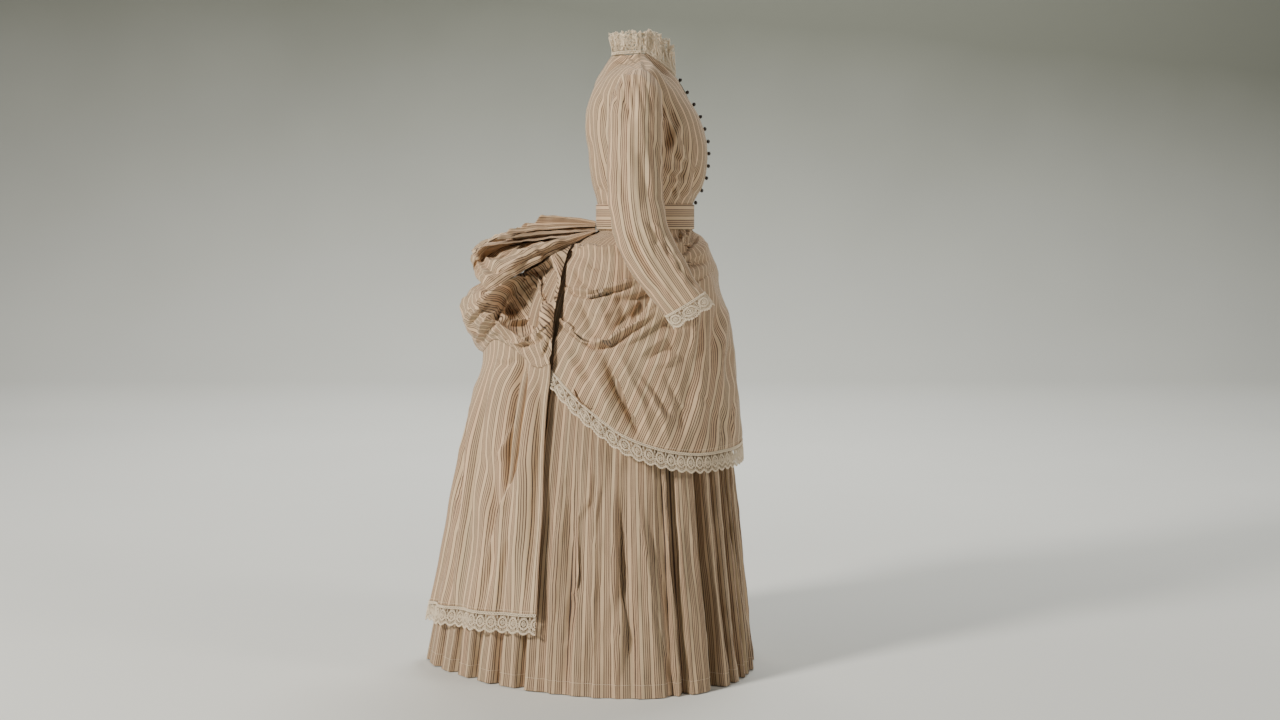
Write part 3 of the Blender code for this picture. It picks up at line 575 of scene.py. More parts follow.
def yarn(name, strands, sides=4):
    """One mesh of thread: each strand has its places, the cloth's normals there, and its radius."""
    points, faces, marks, base = [], [], [], 0
    for places, normals, radius in strands:
        ahead = np.gradient(places, axis=0)
        if np.allclose(places[0], places[-1]):
            ahead[0] = ahead[-1] = places[1] - places[-2]
        ahead /= np.maximum(np.linalg.norm(ahead, axis=1, keepdims=True), 1e-9)
        aside = np.cross(ahead, normals)
        aside /= np.maximum(np.linalg.norm(aside, axis=1, keepdims=True), 1e-9)
        above = np.cross(aside, ahead)
        turn = 2 * math.pi * (np.arange(sides) + 0.5) / sides
        ring = np.cos(turn)[None, :, None] * aside[:, None] + np.sin(turn)[None, :, None] * above[:, None]
        points.append((places[:, None] + radius * ring).reshape(-1, 3))
        count = len(places)
        run = run_along(places)
        k = base + np.arange((count - 1) * sides).reshape(count - 1, sides)
        right = np.roll(k, -1, axis=1)
        faces.append(np.stack([k, right, right + sides, k + sides], axis=-1).reshape(-1, 4))
        around = np.arange(sides + 1) * 2 * math.pi * radius / sides
        a = np.broadcast_to(run[:-1, None], (count - 1, sides))
        b = np.broadcast_to(run[1:, None], (count - 1, sides))
        low = np.broadcast_to(around[None, :-1], (count - 1, sides))
        high = np.broadcast_to(around[None, 1:], (count - 1, sides))
        edges = ((a, low), (a, high), (b, high), (b, low))
        marks.append(np.stack([np.stack(edge, axis=-1) for edge in edges], axis=2).reshape(-1, 2))
        base += count * sides
    piece = made_piece(name, *(np.concatenate(each) for each in (points, faces, marks)), LACE_YARN)
    return piece


# Machine stitching: rows of short stitches, laid just on the cloth
STITCH_PITCH, STITCH_LONG, STITCH_RADIUS, STITCH_RISE = 0.0032, 0.0022, 0.00032, 0.00035


def stitches(line, normals):
    """Strands for one row of stitches along a line of points."""
    run = run_along(line)
    strands = []
    for start in np.arange(STITCH_PITCH, run[-1] - STITCH_PITCH, STITCH_PITCH):
        at = np.array((start, start + STITCH_LONG / 2, start + STITCH_LONG))
        place, normal = read_along(at, run, line), read_along(at, run, normals)
        lift = np.array((0.0, STITCH_RISE, 0.0))[:, None]
        strands.append((place + normal * lift, normal, STITCH_RADIUS))
    return strands


def grid_of(piece, columns):
    """A piece's points again as its grid, and their normals."""
    count = len(piece.data.vertices)
    flat = np.empty(count * 3)
    piece.data.vertices.foreach_get("co", flat)
    points = flat.reshape(count // columns, columns, 3)
    return points, outward(points)


def stitched_row(name, piece, columns, height):
    """A row of stitches about this far above the last row of a piece's outer cloth."""
    points, normals = grid_of(piece, columns)
    run = runs(points, 0)
    row = int(np.argmin(np.abs(run - (run[-1] - height))))
    return yarn(name, stitches(points[row], normals[row]), 3)


SKIRT_SEWING = stitched_row("skirt_hem_stitches", SKIRT, SKIRT_COLUMNS, 0.030)

# Apron overskirt: one width of striped cotton over the front, caught under the belt. Three tucks
# draw it up at each side back, and its lower edge is turned in, stitched and trimmed with lace.

STRIPED = cotton("striped cotton", 0.55, 0.0012)
# Heights at seven places from the centre front to the side back edge. A row above the one before
# it is cloth folded up and over.
PLACES = (0.0, 0.3, 0.5, 0.64, 0.76, 0.88, 1.0)
#  heights, out from the form: front, side, edge, edge angle
APRON_ROWS = (
    ((-0.004, -0.004, -0.004, -0.004, -0.004, -0.004, -0.004), 0.0029, 0.0029, 0.0032, 132),
    ((-0.0285, -0.0285, -0.0285, -0.0285, -0.0285, -0.0285, -0.0285), 0.0029, 0.0029, 0.0032, 132),
    ((-0.040, -0.052, -0.064, -0.071, -0.077, -0.080, -0.071), 0.0130, 0.0085, 0.0095, 134),
    ((-0.046, -0.056, -0.058, -0.062, -0.067, -0.070, -0.062), 0.0155, 0.0140, 0.0155, 134),
    ((-0.056, -0.070, -0.084, -0.096, -0.106, -0.118, -0.108), 0.0155, 0.0160, 0.0165, 124),
    ((-0.066, -0.084, -0.108, -0.122, -0.145, -0.168, -0.156), 0.0150, 0.0105, 0.0080, 120),
    ((-0.074, -0.092, -0.104, -0.114, -0.136, -0.158, -0.147), 0.0145, 0.0165, 0.0185, 120),
    ((-0.088, -0.112, -0.135, -0.155, -0.185, -0.208, -0.182), 0.0145, 0.0180, 0.0190, 118),
    ((-0.100, -0.128, -0.162, -0.205, -0.252, -0.276, -0.222), 0.0150, 0.0115, 0.0080, 118),
    ((-0.110, -0.138, -0.156, -0.192, -0.240, -0.264, -0.211), 0.0150, 0.0185, 0.0210, 118),
    ((-0.165, -0.195, -0.222, -0.258, -0.292, -0.306, -0.243), 0.0150, 0.0190, 0.0190, 118),
    ((-0.250, -0.280, -0.310, -0.335, -0.352, -0.350, -0.270), 0.0240, 0.0190, 0.0160, 119),
    ((-0.370, -0.395, -0.415, -0.425, -0.415, -0.390, -0.297), 0.0180, 0.0190, 0.0140, 119),
    ((-0.489, -0.494, -0.493, -0.478, -0.450, -0.392, -0.322), 0.0195, 0.0200, 0.0120, 119),
)
APRON_READS = [
    (smooth(tuple(zip(PLACES, row[0])), 1), smooth(((0.0, row[1]), (0.55, row[2]), (1.0, row[3])), 1))
    for row in APRON_ROWS
]
APRON_FINE_ROWS, APRON_FINE_COLUMNS = 196, 240
# Its stripes lean towards the tucks: half the girth, the most lean and where it is full, and the
# depth at which they stand in place
GIRTH_HALF, LEAN_MOST, LEAN_REACH, LEAN_LEVEL = 0.56, 0.52, 0.5, 0.20


def apron_point(row, place, drop=0.0):
    height, out = APRON_READS[row]
    angle = math.radians(APRON_ROWS[row][4]) * place
    return form_point(height(abs(place)) - drop, angle, out(abs(place)))


APRON_CREASES = (
    (8.5, 7, "lip", ((566, 283), (575, 290), (589, 293), (617, 287), (636, 281))),
    (-6.0, 4, "soft", ((566, 287), (575, 294), (590, 297), (617, 291), (636, 285))),
    (9.0, 8, "lip", ((558, 319), (570, 328), (584, 337), (596, 344), (610, 340), (624, 331), (654, 314))),
    (-6.5, 4.5, "soft", ((560, 324), (571, 333), (584, 342), (597, 349), (612, 345), (626, 336), (654, 319))),
    (-9.0, 8, "soft", ((614, 299), (630, 300), (648, 296), (655, 292))),
    (11.0, 6, "lip", ((632, 247), (617, 250), (604, 251), (588, 249), (568, 245))),
    (-13.0, 4.5, "soft", ((568, 239), (588, 242), (604, 244), (617, 243), (632, 240))),
    (6.0, 6, "lip", ((615, 352), (622, 366), (640, 404), (650, 440))),
    (-5.0, 8, "soft", ((664, 372), (676, 396), (684, 430))),
    (5.0, 7, "lip", ((632, 372), (648, 392), (662, 420), (668, 446))),
    (-5.0, 6, "soft", ((640, 372), (656, 394), (670, 422))),
    (4.0, 6, "lip", ((700, 300), (694, 330), (690, 360))),
    (-4.0, 7, "soft", ((706, 302), (701, 332), (697, 362))),
    (4.0, 6, "lip", ((656, 310), (668, 318), (684, 318))),
    (-4.0, 6, "soft", ((660, 320), (672, 328), (690, 326))),
    (4.0, 5, "lip", ((735, 400), (731, 420), (733, 440))),
    (-5.0, 6, "soft", ((722, 404), (724, 424), (722, 446))),
    (-3.0, 5, "soft", ((696, 392), (706, 400), (714, 412))),
    (3.0, 5, "lip", ((668, 400), (680, 404), (690, 412))),
    (-3.0, 5, "soft", ((586, 262), (596, 268), (612, 270))),
    (3.0, 6, "lip", ((584, 310), (600, 316), (618, 312))),
    (-4.0, 6, "soft", ((612, 336), (620, 324), (632, 312))),
    (4.0, 7, "lip", ((622, 346), (640, 336), (660, 322), (672, 306))),
    (-3.0, 9, "soft", ((712, 262), (718, 280), (722, 300))),
    (4.0, 8, "lip", ((722, 262), (728, 284), (731, 306))),
    (-14.0, 13, "soft", ((601, 350), (615, 380), (630, 412), (644, 442))),
    (8.0, 13, "soft", ((590, 366), (602, 392), (616, 424))),
    (6.0, 14, "soft", ((618, 352), (634, 386), (652, 420))),
    (-7.0, 9, "lip", ((620, 332), (638, 316), (654, 296))),
    (-8.0, 10, "soft", ((633, 322), (644, 306), (652, 290))),
    (5.0, 7, "lip", ((640, 356), (652, 346), (668, 337))),
    (-4.0, 6, "soft", ((645, 362), (658, 352), (676, 345))),
    (4.0, 6, "lip", ((650, 368), (667, 364), (684, 352))),
    (-4.0, 6, "soft", ((664, 340), (672, 350), (684, 356))),
    (4.0, 8, "soft", ((650, 408), (660, 412), (672, 424))),
    (-4.0, 7, "soft", ((655, 402), (665, 406), (676, 416))),
    (-6.0, 9, "soft", ((722, 296), (717, 322), (713, 350), (711, 372))),
    (5.0, 8, "soft", ((728, 300), (724, 330), (721, 356), (720, 384))),
    (-5.0, 9, "soft", ((731, 346), (729, 366), (730, 386))),
    (-8.0, 8, "lip", ((677, 262), (690, 248), (700, 232))),
    (-6.0, 8, "soft", ((684, 268), (697, 261), (709, 262))),
    (6.0, 9, "soft", ((672, 246), (682, 240), (692, 230))),
    (5.0, 8, "soft", ((690, 262), (702, 252), (708, 240))),
    (-4.0, 7, "soft", ((662, 240), (668, 250), (672, 262))),
    (-4.0, 7, "soft", ((574, 268), (580, 280), (590, 288))),
    (4.0, 9, "soft", ((566, 300), (572, 312), (576, 324))),
    (-5.0, 9, "soft", ((580, 300), (588, 318), (592, 334))),
    (4.0, 9, "soft", ((598, 300), (604, 318), (606, 332))),
    (-4.0, 10, "soft", ((616, 296), (622, 306), (624, 318))),
    (-4.5, 12, "soft", ((572, 345), (584, 366), (600, 392))),
    (4.0, 9, "soft", ((564, 346), (572, 366), (584, 384))),
    (-4.0, 11, "soft", ((690, 372), (686, 402), (680, 436))),
    (4.0, 11, "soft", ((702, 370), (700, 402), (696, 438))),
    (-4.0, 10, "soft", ((716, 392), (714, 420), (712, 446))),
)


# Gathers where the cloth comes out from under the belt: across the frame, at their top and foot
GATHER_PLACES = (563, 568, 572, 577, 583, 588, 594, 599, 604, 610, 616, 622, 680, 686, 692, 697)
APRON_GATHERS = [
    (-5.2 - 1.2 * math.sin(k * 2.1), 2.4, "soft", ((x, 226), (x + 1.5 * math.sin(k), 234), (x - 1, 245)))
    for k, x in enumerate(GATHER_PLACES)
]


def hemmed(points, uv, thick=0.0018, turned=0.010):
    """Turns the last row of a sheet in and up, so that its edge is a fold of cloth."""
    inward = -outward(points)[-1]
    up = points[-4] - points[-1]
    up /= np.linalg.norm(up, axis=1, keepdims=True)
    last = points[-1]
    extra = [last + inward * thick * 0.5 - up * thick * 0.4, last + inward * thick,
             last + inward * thick + up * turned]
    more = [uv[-1] - (0, thick), uv[-1] - (0, 2 * thick), uv[-1] - (0, 2 * thick + turned)]
    return np.concatenate([points, extra]), np.concatenate([uv, more])


def apron():
    places = np.linspace(-1, 1, 61)
    rows = [[apron_point(row, p) for p in places] for row in range(len(APRON_ROWS))]
    points = fine(rows, APRON_FINE_ROWS, APRON_FINE_COLUMNS, even_rows=False)
    girth = np.linspace(-1, 1, APRON_FINE_COLUMNS) * GIRTH_HALF
    depth = -points[..., 2]
    slant = LEAN_MOST * np.sin(np.minimum(np.abs(girth) / LEAN_REACH, 1.0) * math.pi / 2)
    fall = np.where(depth < 0.22, 0.35 * depth + 1.5 * depth**2, depth - 0.07)
    u = np.abs(girth)[None, :] - slant[None, :] * (fall - LEAN_LEVEL)
    uv = np.stack([u, -np.broadcast_to(runs(points, 0)[:, None], u.shape)], axis=-1)
    uneven = ruffle(points, 0.0022, 0.10, 11) + crumple(points, 0.0016, 0.09, 12)
    points += outward(points) * (uneven * ease(depth, 0.04, 0.12))[..., None]
    points = press(points, list(APRON_CREASES) + APRON_GATHERS)
    return cloth("apron_cloth", [hemmed(points, uv)], STRIPED, "apron_overskirt")


APRON = apron()
APRON_SEWING = stitched_row("apron_stitches", APRON, APRON_FINE_COLUMNS, 0.018)

# Lace edge of the apron: crocheted cotton thread, gathered on to the hem. One repeat is a medallion
# with a diamond in it, under a looped heading and over a scalloped edge with picots.

SEAM = 0.0005
# The repeat's threads are placed in millimetres: across, down and lift
LACE_PITCH, LACE_DOWN, LACE_DROP = 30.0, 42.0, 0.042
MEDAL_DOWN, MEDAL_OUT, MEDAL_BAND, DIAMOND = 21.0, 11.8, 2.2, 5.2
SCALLOP_DOWN, SCALLOP_DEEP, HEAD_TOP, HEAD_LOW, BAR_LIFT = 33.6, 6.8, 1.0, 5.4, 0.3


def ring_path(x, y, reach, count, wave=0.0, waves=0, lift=0.0):
    turn = np.linspace(0, 2 * math.pi, count + 1)
    size = reach + wave * np.cos(waves * turn)
    return np.stack([x + size * np.cos(turn), y + size * np.sin(turn), np.full(count + 1, lift)], axis=1)


def bar_path(x, y, turn, inner, outer):
    reach = np.array((inner, outer))
    return np.stack([x + reach * math.cos(turn), y + reach * math.sin(turn), np.full(2, BAR_LIFT)], axis=1)


def line_path(across, down, lift=0.0):
    return np.stack(np.broadcast_arrays(across, down, lift), axis=1).astype(float)


def lace_repeat():
    """Bold threads, then fine ones."""
    half = LACE_PITCH / 2
    wide = np.linspace(-half, half, 13)
    loops = np.linspace(-half, half, 25)
    scallop = SCALLOP_DOWN + SCALLOP_DEEP * np.cos(np.pi * wide / LACE_PITCH)
    bold = [line_path(wide, HEAD_TOP), line_path(wide, HEAD_LOW, 0.2), line_path(wide, scallop, 0.4)]
    bold.append(ring_path(0, MEDAL_DOWN, MEDAL_OUT, 24, 0.5, 12, 0.3))
    bold.append(ring_path(0, MEDAL_DOWN, MEDAL_OUT - MEDAL_BAND, 20, lift=0.7))
    bold.append(ring_path(0, MEDAL_DOWN, DIAMOND, 8, 0.7, 4, 0.6))
    bold.append(ring_path(0, MEDAL_DOWN, DIAMOND * 0.45, 6, lift=0.8))
    bold.append(ring_path(half, 27.4, 2.6, 8, lift=0.5))
    bold.append(line_path(loops, 3.2 - 1.9 * np.cos(2 * np.pi * loops / 7.5), 0.5))
    thin = [line_path(wide, scallop - 3.2, 0.2)]
    for k in range(8):
        thin.append(bar_path(0, MEDAL_DOWN, 2 * math.pi * (k + 0.5) / 8, DIAMOND, MEDAL_OUT - MEDAL_BAND))
    for x in np.linspace(-12.9, 12.9, 7):
        edge = SCALLOP_DOWN + SCALLOP_DEEP * math.cos(math.pi * x / LACE_PITCH)
        bold.append(ring_path(x, edge + 1.6, 1.5, 6, lift=0.3))
        thin.append(line_path((x * 0.86, x), (edge - 4.2, edge)))
    for turn in (55, 73, 90, 107, 125):
        turn = math.radians(turn)
        across = MEDAL_OUT * math.cos(turn)
        edge = SCALLOP_DOWN - 3 + SCALLOP_DEEP * math.cos(math.pi * across / LACE_PITCH)
        thin.append(line_path((across, across * 1.12), (MEDAL_DOWN + MEDAL_OUT * math.sin(turn), edge)))
    for turn in (-125, -108, -90, -72, -55):
        turn = math.radians(turn)
        across = MEDAL_OUT * math.cos(turn)
        thin.append(line_path((across, across * 1.1), (MEDAL_DOWN + MEDAL_OUT * math.sin(turn), HEAD_LOW)))
    # Threads between two medallions
    thin.append(line_path((10.6, 13.0, 15.0, 17.0, 19.4), (16.0, 20.4, 21.4, 20.4, 16.0), 0.3))
    thin.append(line_path((half, half), (HEAD_LOW, 25.0), 0.3))
    thin.append(line_path((11.2, 15.0, 18.8), (12.0, 13.2, 12.0), 0.4))
    thin.append(ring_path(half, 9.6, 1.7, 8, lift=0.4))
    thin.append(line_path((half, half), (29.8, 33.6), 0.3))
    thin.append(line_path((11.6, 12.7), (23.0, 26.4), 0.3))
    thin.append(line_path((18.4, 17.3), (23.0, 26.4), 0.3))
    return bold, thin


BOLD, THIN = 0.00095, 0.00040
LACE_FINE, LACE_LOOSE = 14, 0.15


def lace_strands(place_of, cells):
    """Lays the repeat along a band. place_of(along, down) is a point of it, along in repeats."""
    at = np.linspace(0, cells, cells * LACE_FINE + 1)
    top = np.array([place_of(a, 0.0) for a in at])
    low = np.array([place_of(a, 1.0) for a in at])
    normals = np.cross(low - top, np.gradient(top, axis=0))
    normals /= np.linalg.norm(normals, axis=1, keepdims=True)

    def on(values, along):
        return read_along(np.clip(along, 0, cells), at, values)

    wild = np.random.default_rng(len(at))
    strands = []
    for cell in range(cells + 1):
        for paths, radius in zip(lace_repeat(), (BOLD, THIN)):
            for path in paths:
                along = cell + path[:, 0] / LACE_PITCH
                if along.min() > cells or along.max() < 0:
                    continue
                inside = (along > -0.02) & (along < cells + 0.02)
                if inside.sum() < 2:
                    continue
                path, along = path[inside], along[inside]
                start, normal = on(top, along), on(normals, along)
                place = start + (on(low, along) - start) * path[:, 1:2] / LACE_DOWN
                lift = (path[:, 2:3] + wild.uniform(-LACE_LOOSE, LACE_LOOSE)) / 1000
                strands.append((place + normal * lift, normal, radius))
    return strands


APRON_CELLS, LACE_NARROWING = 48, 0.15


def apron_lace_place(along, down):
    place = 2 * along / APRON_CELLS - 1
    drop = LACE_DROP * (1 - LACE_NARROWING * abs(place) ** 3)
    return apron_point(len(APRON_ROWS) - 1, place, SEAM + down * drop)


LACE_APRON = yarn("apron_lace_yarn", lace_strands(apron_lace_place, APRON_CELLS))
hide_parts("lace_apron")

# Upper bustle puff: a length of the same cotton, gathered under the belt behind and looped over the
# bustle, open at its sides.

#  centre x, centre z, edge x, edge y, edge z, how far its side hollow opens
UPPER_PUFF = (
    (-0.1096, -0.0278, -0.1034, 0.050, -0.0282, 0.0),
    (-0.157, -0.0270, -0.146, 0.090, -0.0520, 0.4),
    (-0.224, -0.0260, -0.196, 0.122, -0.0770, 0.9),
    (-0.290, -0.0300, -0.247, 0.144, -0.1070, 1.0),
    (-0.346, -0.0460, -0.292, 0.158, -0.1320, 0.9),
    (-0.377, -0.0700, -0.316, 0.164, -0.1460, 0.55),
    (-0.386, -0.0900, -0.330, 0.166, -0.1540, 0.25),
    (-0.375, -0.1130, -0.340, 0.164, -0.1590, 0.0),
    (-0.350, -0.1400, -0.338, 0.158, -0.1640, 0.0),
)
#  place, plain out, plain down, hollowed out, hollowed down
UPPER_ACROSS = (
    (0.00, 0.000, 0.00, 0.00, 0.00),
    (0.14, 0.218, 0.02, 0.24, 0.00),
    (0.28, 0.426, 0.09, 0.46, 0.01),
    (0.38, 0.562, 0.17, 0.58, 0.06),
    (0.46, 0.661, 0.25, 0.52, 0.18),
    (0.54, 0.750, 0.34, 0.34, 0.30),
    (0.62, 0.827, 0.44, 0.46, 0.44),
    (0.70, 0.891, 0.55, 0.74, 0.50),
    (0.78, 0.941, 0.66, 0.95, 0.58),
    (0.88, 0.982, 0.81, 1.04, 0.76),
    (1.00, 1.000, 1.00, 1.00, 1.00),
)
RIM_CORNER, RIM_REACH = 0.4, 0.7


def upper_point(stage, column):
    centre_x, centre_z, edge_x, edge_y, edge_z, opens = UPPER_PUFF[stage]
    place, plain_out, plain_down, hollow_out, hollow_down = UPPER_ACROSS[abs(column)]
    out = plain_out + (hollow_out - plain_out) * opens
    down = plain_down + (hollow_down - plain_down) * opens
    x = centre_x + (edge_x - centre_x) * place**2
    return np.array((x, math.copysign(edge_y * out, column), centre_z + (edge_z - centre_z) * down))


UPPER_CREASES = (
    (5.0, 5, "lip", ((590, 232), (563, 240), (530, 250), (514, 262), (497, 276))),
    (-5.0, 4, "soft", ((588, 236), (560, 247), (530, 258), (512, 270))),
    (4.0, 4, "lip", ((588, 228), (556, 236), (528, 244), (505, 256))),
    (-6.0, 5, "soft", ((560, 238), (530, 241), (508, 243), (497, 241))),
    (6.0, 4, "lip", ((497, 238), (484, 243), (475, 252), (478, 264), (487, 278))),
    (-5.0, 4, "soft", ((500, 247), (488, 252), (483, 260))),
    (5.0, 4, "lip", ((503, 262), (492, 262), (483, 256))),
    (-5.0, 4, "soft", ((506, 272), (496, 272), (486, 268))),
)


def upper_puff():
    last = len(UPPER_ACROSS) - 1
    rows = [[upper_point(s, c) for c in range(last, -last - 1, -1)] for s in range(len(UPPER_PUFF))]
    points = fine(rows, 130, 250)
    uv = cloth_uv(points, 78)
    gather = ease(-points[..., 0], 0.12, 0.20)
    crushed = ruffle(points, 0.0030, 0.07, 21) + crumple(points, 0.0048, 0.056, 22)
    crushed += crumple(points, 0.0010, 0.024, 23)
    points += outward(points) * (crushed * gather)[..., None]
    points = press(points, UPPER_CREASES)
    return cloth("upper_puff_cloth", [(points, uv)], STRIPED, "bustle_upper_puff")


UPPER = upper_puff()

# Lower bustle puff: the next loop of the same length, hanging from the rim of the upper one. A deep
# pocket opens in it at each side, and its lower edge is caught to the top of the back panel.


def shares(line):
    run = run_along(line)
    return run / run[-1]


def upper_rim(place):
    """The free rim of the upper puff: 0 the centre of its low end, RIM_CORNER its corner, 1 its top."""
    last = len(UPPER_ACROSS) - 1
    low = np.array([upper_point(len(UPPER_PUFF) - 1, column) for column in range(last + 1)])
    side = [upper_point(stage, last) for stage in range(len(UPPER_PUFF) - 1, 0, -1)]
    side[-1] = side[-2] + (side[-1] - side[-2]) * RIM_REACH
    side = np.array(side)
    if place < RIM_CORNER:
        return read_along(place / RIM_CORNER, shares(low), low)
    share = (place - RIM_CORNER) / (1 - RIM_CORNER)
    return read_along(share, shares(side), side)


#  place, low x, low y, low z, bulge
LOWER_PUFF = (
    (0.0, -0.362, 0.000, -0.300, 0.054),
    (0.2, -0.352, 0.072, -0.288, 0.050),
    (0.4, -0.325, 0.132, -0.262, 0.036),
    (0.6, -0.285, 0.165, -0.277, 0.028),
    (0.8, -0.236, 0.192, -0.316, 0.034),
    (1.0, -0.202, 0.210, -0.308, 0.036),
)
LOWER = [smooth(LOWER_PUFF, column) for column in range(1, 5)]
LOWER_TURN, LOWER_GRAIN = 74, 38
SWELL_HIGH, SWELL_FULL = 0.75, 0.8
POCKET_PLACE, POCKET_STAGE, POCKET_REACH, POCKET_DROP, POCKET_DEPTH = 0.72, 0.34, 0.27, 0.42, 0.060
POCKET_WAY = np.array((0.25, -0.97, 0.0))


def lower_point(stage, place):
    side = abs(place)
    top = upper_rim(side) - (0, 0, SEAM + 0.0004)
    low = np.array([read(side) for read in LOWER[0:3]])
    turn = side * math.radians(LOWER_TURN)
    away = np.array((-math.cos(turn), math.sin(turn), 0.0))
    swell = LOWER[3](side) * math.sin(math.pi * stage**SWELL_HIGH) ** SWELL_FULL if 0 < stage < 1 else 0.0
    far = math.hypot((side - POCKET_PLACE) / POCKET_REACH, (stage - POCKET_STAGE) / POCKET_DROP)
    pocket = POCKET_DEPTH * (1 - ease(far, 0.62, 1.0))
    return (top + (low - top) * stage + away * swell + POCKET_WAY * pocket) * (1, math.copysign(1, place), 1)


LOWER_CREASES = (
    (9.0, 4, "lip", ((546, 311), (545, 296), (540, 282), (528, 270))),
    (12.0, 9, "lip", ((549, 346), (549, 312), (549, 286), (546, 262))),
    (-9.0, 9, "soft", ((514, 286), (518, 300), (528, 306))),
    (9.0, 4, "lip", ((497, 319), (510, 325), (525, 324), (535, 316))),
    (8.0, 5, "soft", ((512, 296), (504, 306), (500, 316), (506, 325))),
    (-8.0, 5, "soft", ((518, 312), (508, 310), (512, 302))),
    (8.0, 4, "soft", ((518, 276), (523, 273), (529, 279), (523, 284))),
    (7.0, 5, "lip", ((489, 293), (479, 302), (470, 312), (463, 322))),
    (-6.0, 4, "soft", ((496, 299), (486, 306), (476, 316), (470, 326))),
    (6.0, 4, "lip", ((498, 304), (490, 314), (482, 322), (478, 334))),
    (-6.0, 4, "soft", ((502, 312), (496, 322), (488, 330), (484, 338))),
    (6.0, 4, "lip", ((545, 330), (532, 336), (518, 341), (506, 341))),
    (-6.0, 4, "soft", ((548, 336), (535, 342), (521, 347))),
    (7.0, 4, "lip", ((567, 300), (560, 326), (554, 350), (548, 366))),
    (-7.0, 4, "soft", ((560, 300), (554, 322), (548, 344), (542, 360))),
    (-5.0, 5, "soft", ((555, 270), (556, 290), (552, 310))),
    (5.0, 5, "lip", ((536, 345), (542, 330), (550, 318))),
    (-5.0, 4, "soft", ((515, 330), (530, 331), (545, 322))),
)


def lower_puff():
    stages = np.linspace(0, 1, 34)
    places = np.linspace(1, -1, 81)
    points = fine([[lower_point(v, p) for p in places] for v in stages], 150, 280)
    uv = cloth_uv(points, 90)
    turn = math.radians(LOWER_GRAIN)
    u = uv[..., 0] * math.cos(turn) + uv[..., 1] * math.sin(turn)
    v = uv[..., 1] * math.cos(turn) - uv[..., 0] * math.sin(turn)
    crushed = ruffle(points, 0.0040, 0.075, 31) + crumple(points, 0.0055, 0.062, 32)
    crushed += crumple(points, 0.0010, 0.026, 33)
    seams = ease(runs(points, 0), 0.0, 0.02) * ease(runs(points, 0)[-1] - runs(points, 0), 0.0, 0.02)
    points += outward(points) * (crushed * seams[:, None])[..., None]
    points = press(points, LOWER_CREASES)
    sheet = [(points, np.stack([u, v], axis=-1))]
    return cloth("lower_puff_cloth", sheet, STRIPED, "bustle_lower_puff")


LOWER_CLOTH = lower_puff()

# Fan: the pleated end of the drapery, of three leaves of the same cotton with hemmed edges. It
# stands up behind, with its root caught under the belt.

# One row a fold of its free end: x, y, z
FAN_FOLDS = (
    (-0.222, 0.000, 0.0040),
    (-0.218, 0.016, -0.0100),
    (-0.228, 0.034, 0.0050),
    (-0.250, 0.046, -0.0250),
    (-0.256, 0.072, -0.0150),
    (-0.262, 0.084, -0.0300),
    (-0.292, 0.108, -0.0240),
    (-0.300, 0.120, -0.0360),
)
FAN_ROOT_X, FAN_ROOT_Z, FAN_ROOT_HALF, FAN_ROOT_DEEP, FAN_CROWN = -0.1113, -0.0130, 0.030, 0.008, 0.003
#  reach beyond the upper leaf, drop, turn of its folds
FAN_LEAVES = ((1.00, 0.000, 0.0), (1.10, 0.014, 0.9), (1.30, 0.026, 1.9))
LEAF_WIDER, LEAF_WAVE = 0.009, 0.006
# Where each lower leaf's root lies against the one above: all along it, and more towards its sides
LEAF_STEP, LEAF_SIDE = np.array((0, 0, -0.0065)), np.array((-0.002, 0.010, -0.0035))


def fan_point(stage, fold, leaf):
    reach, drop, turned = FAN_LEAVES[leaf]
    free = np.array(FAN_FOLDS[abs(fold)])
    share = abs(fold) / (len(FAN_FOLDS) - 1)
    lift = FAN_ROOT_DEEP * 0.5 * (-1) ** fold * (1 - share)
    wide = (FAN_ROOT_HALF + LEAF_WIDER * leaf) * share
    root = np.array((FAN_ROOT_X, wide, FAN_ROOT_Z + lift - FAN_ROOT_DEEP * share))
    root = root + LEAF_STEP * leaf + LEAF_SIDE * leaf * share
    free = root + (free - root) * reach - (0, 0, drop) + (0, 0, LEAF_WAVE * math.sin(turned * (1 + 2 * fold)))
    crown = np.array((0, 0, FAN_CROWN * math.sin(math.pi * stage) - 0.002 * leaf * stage))
    return (root + (free - root) * stage + crown) * (1, math.copysign(1, fold), 1)


def fan():
    last = len(FAN_FOLDS) - 1
    grids = []
    for leaf in range(len(FAN_LEAVES)):
        rows = [[fan_point(v, k, leaf) for k in range(last, -last - 1, -1)] for v in np.linspace(0, 1, 6)]
        points = fine(rows, 44, 130)
        uv = cloth_uv(points, -1)
        free = ease(runs(points, 0), 0.01, 0.10)[:, None]
        points += outward(points) * (crumple(points, 0.0030, 0.05, 71 + leaf) * free)[..., None]
        grids.append(hemmed(points, uv, 0.0016, 0.006))
    return cloth("fan_cloth", grids, STRIPED, "bustle_fan")


FAN = fan()

# Back panel: one length of the same cotton that hangs from under the lower puff, nearly to the
# floor, over the underskirt. Its hem is stitched and edged with the same lace.
PANEL_EDGE, PANEL_LOW_BACK, PANEL_LOW_SIDE, PANEL_OUT = 119.3, -0.857, -0.826, 0.017
PANEL_FOLDS = ((0.18, 0.13, 0.011), (0.50, 0.14, 0.014), (0.82, 0.11, 0.006))
PANEL_COLUMNS = 220


def bump(x, middle, reach):
    t = np.clip(np.abs(x - middle) / reach, 0.0, 1.0)
    return (1 - t * t) ** 2


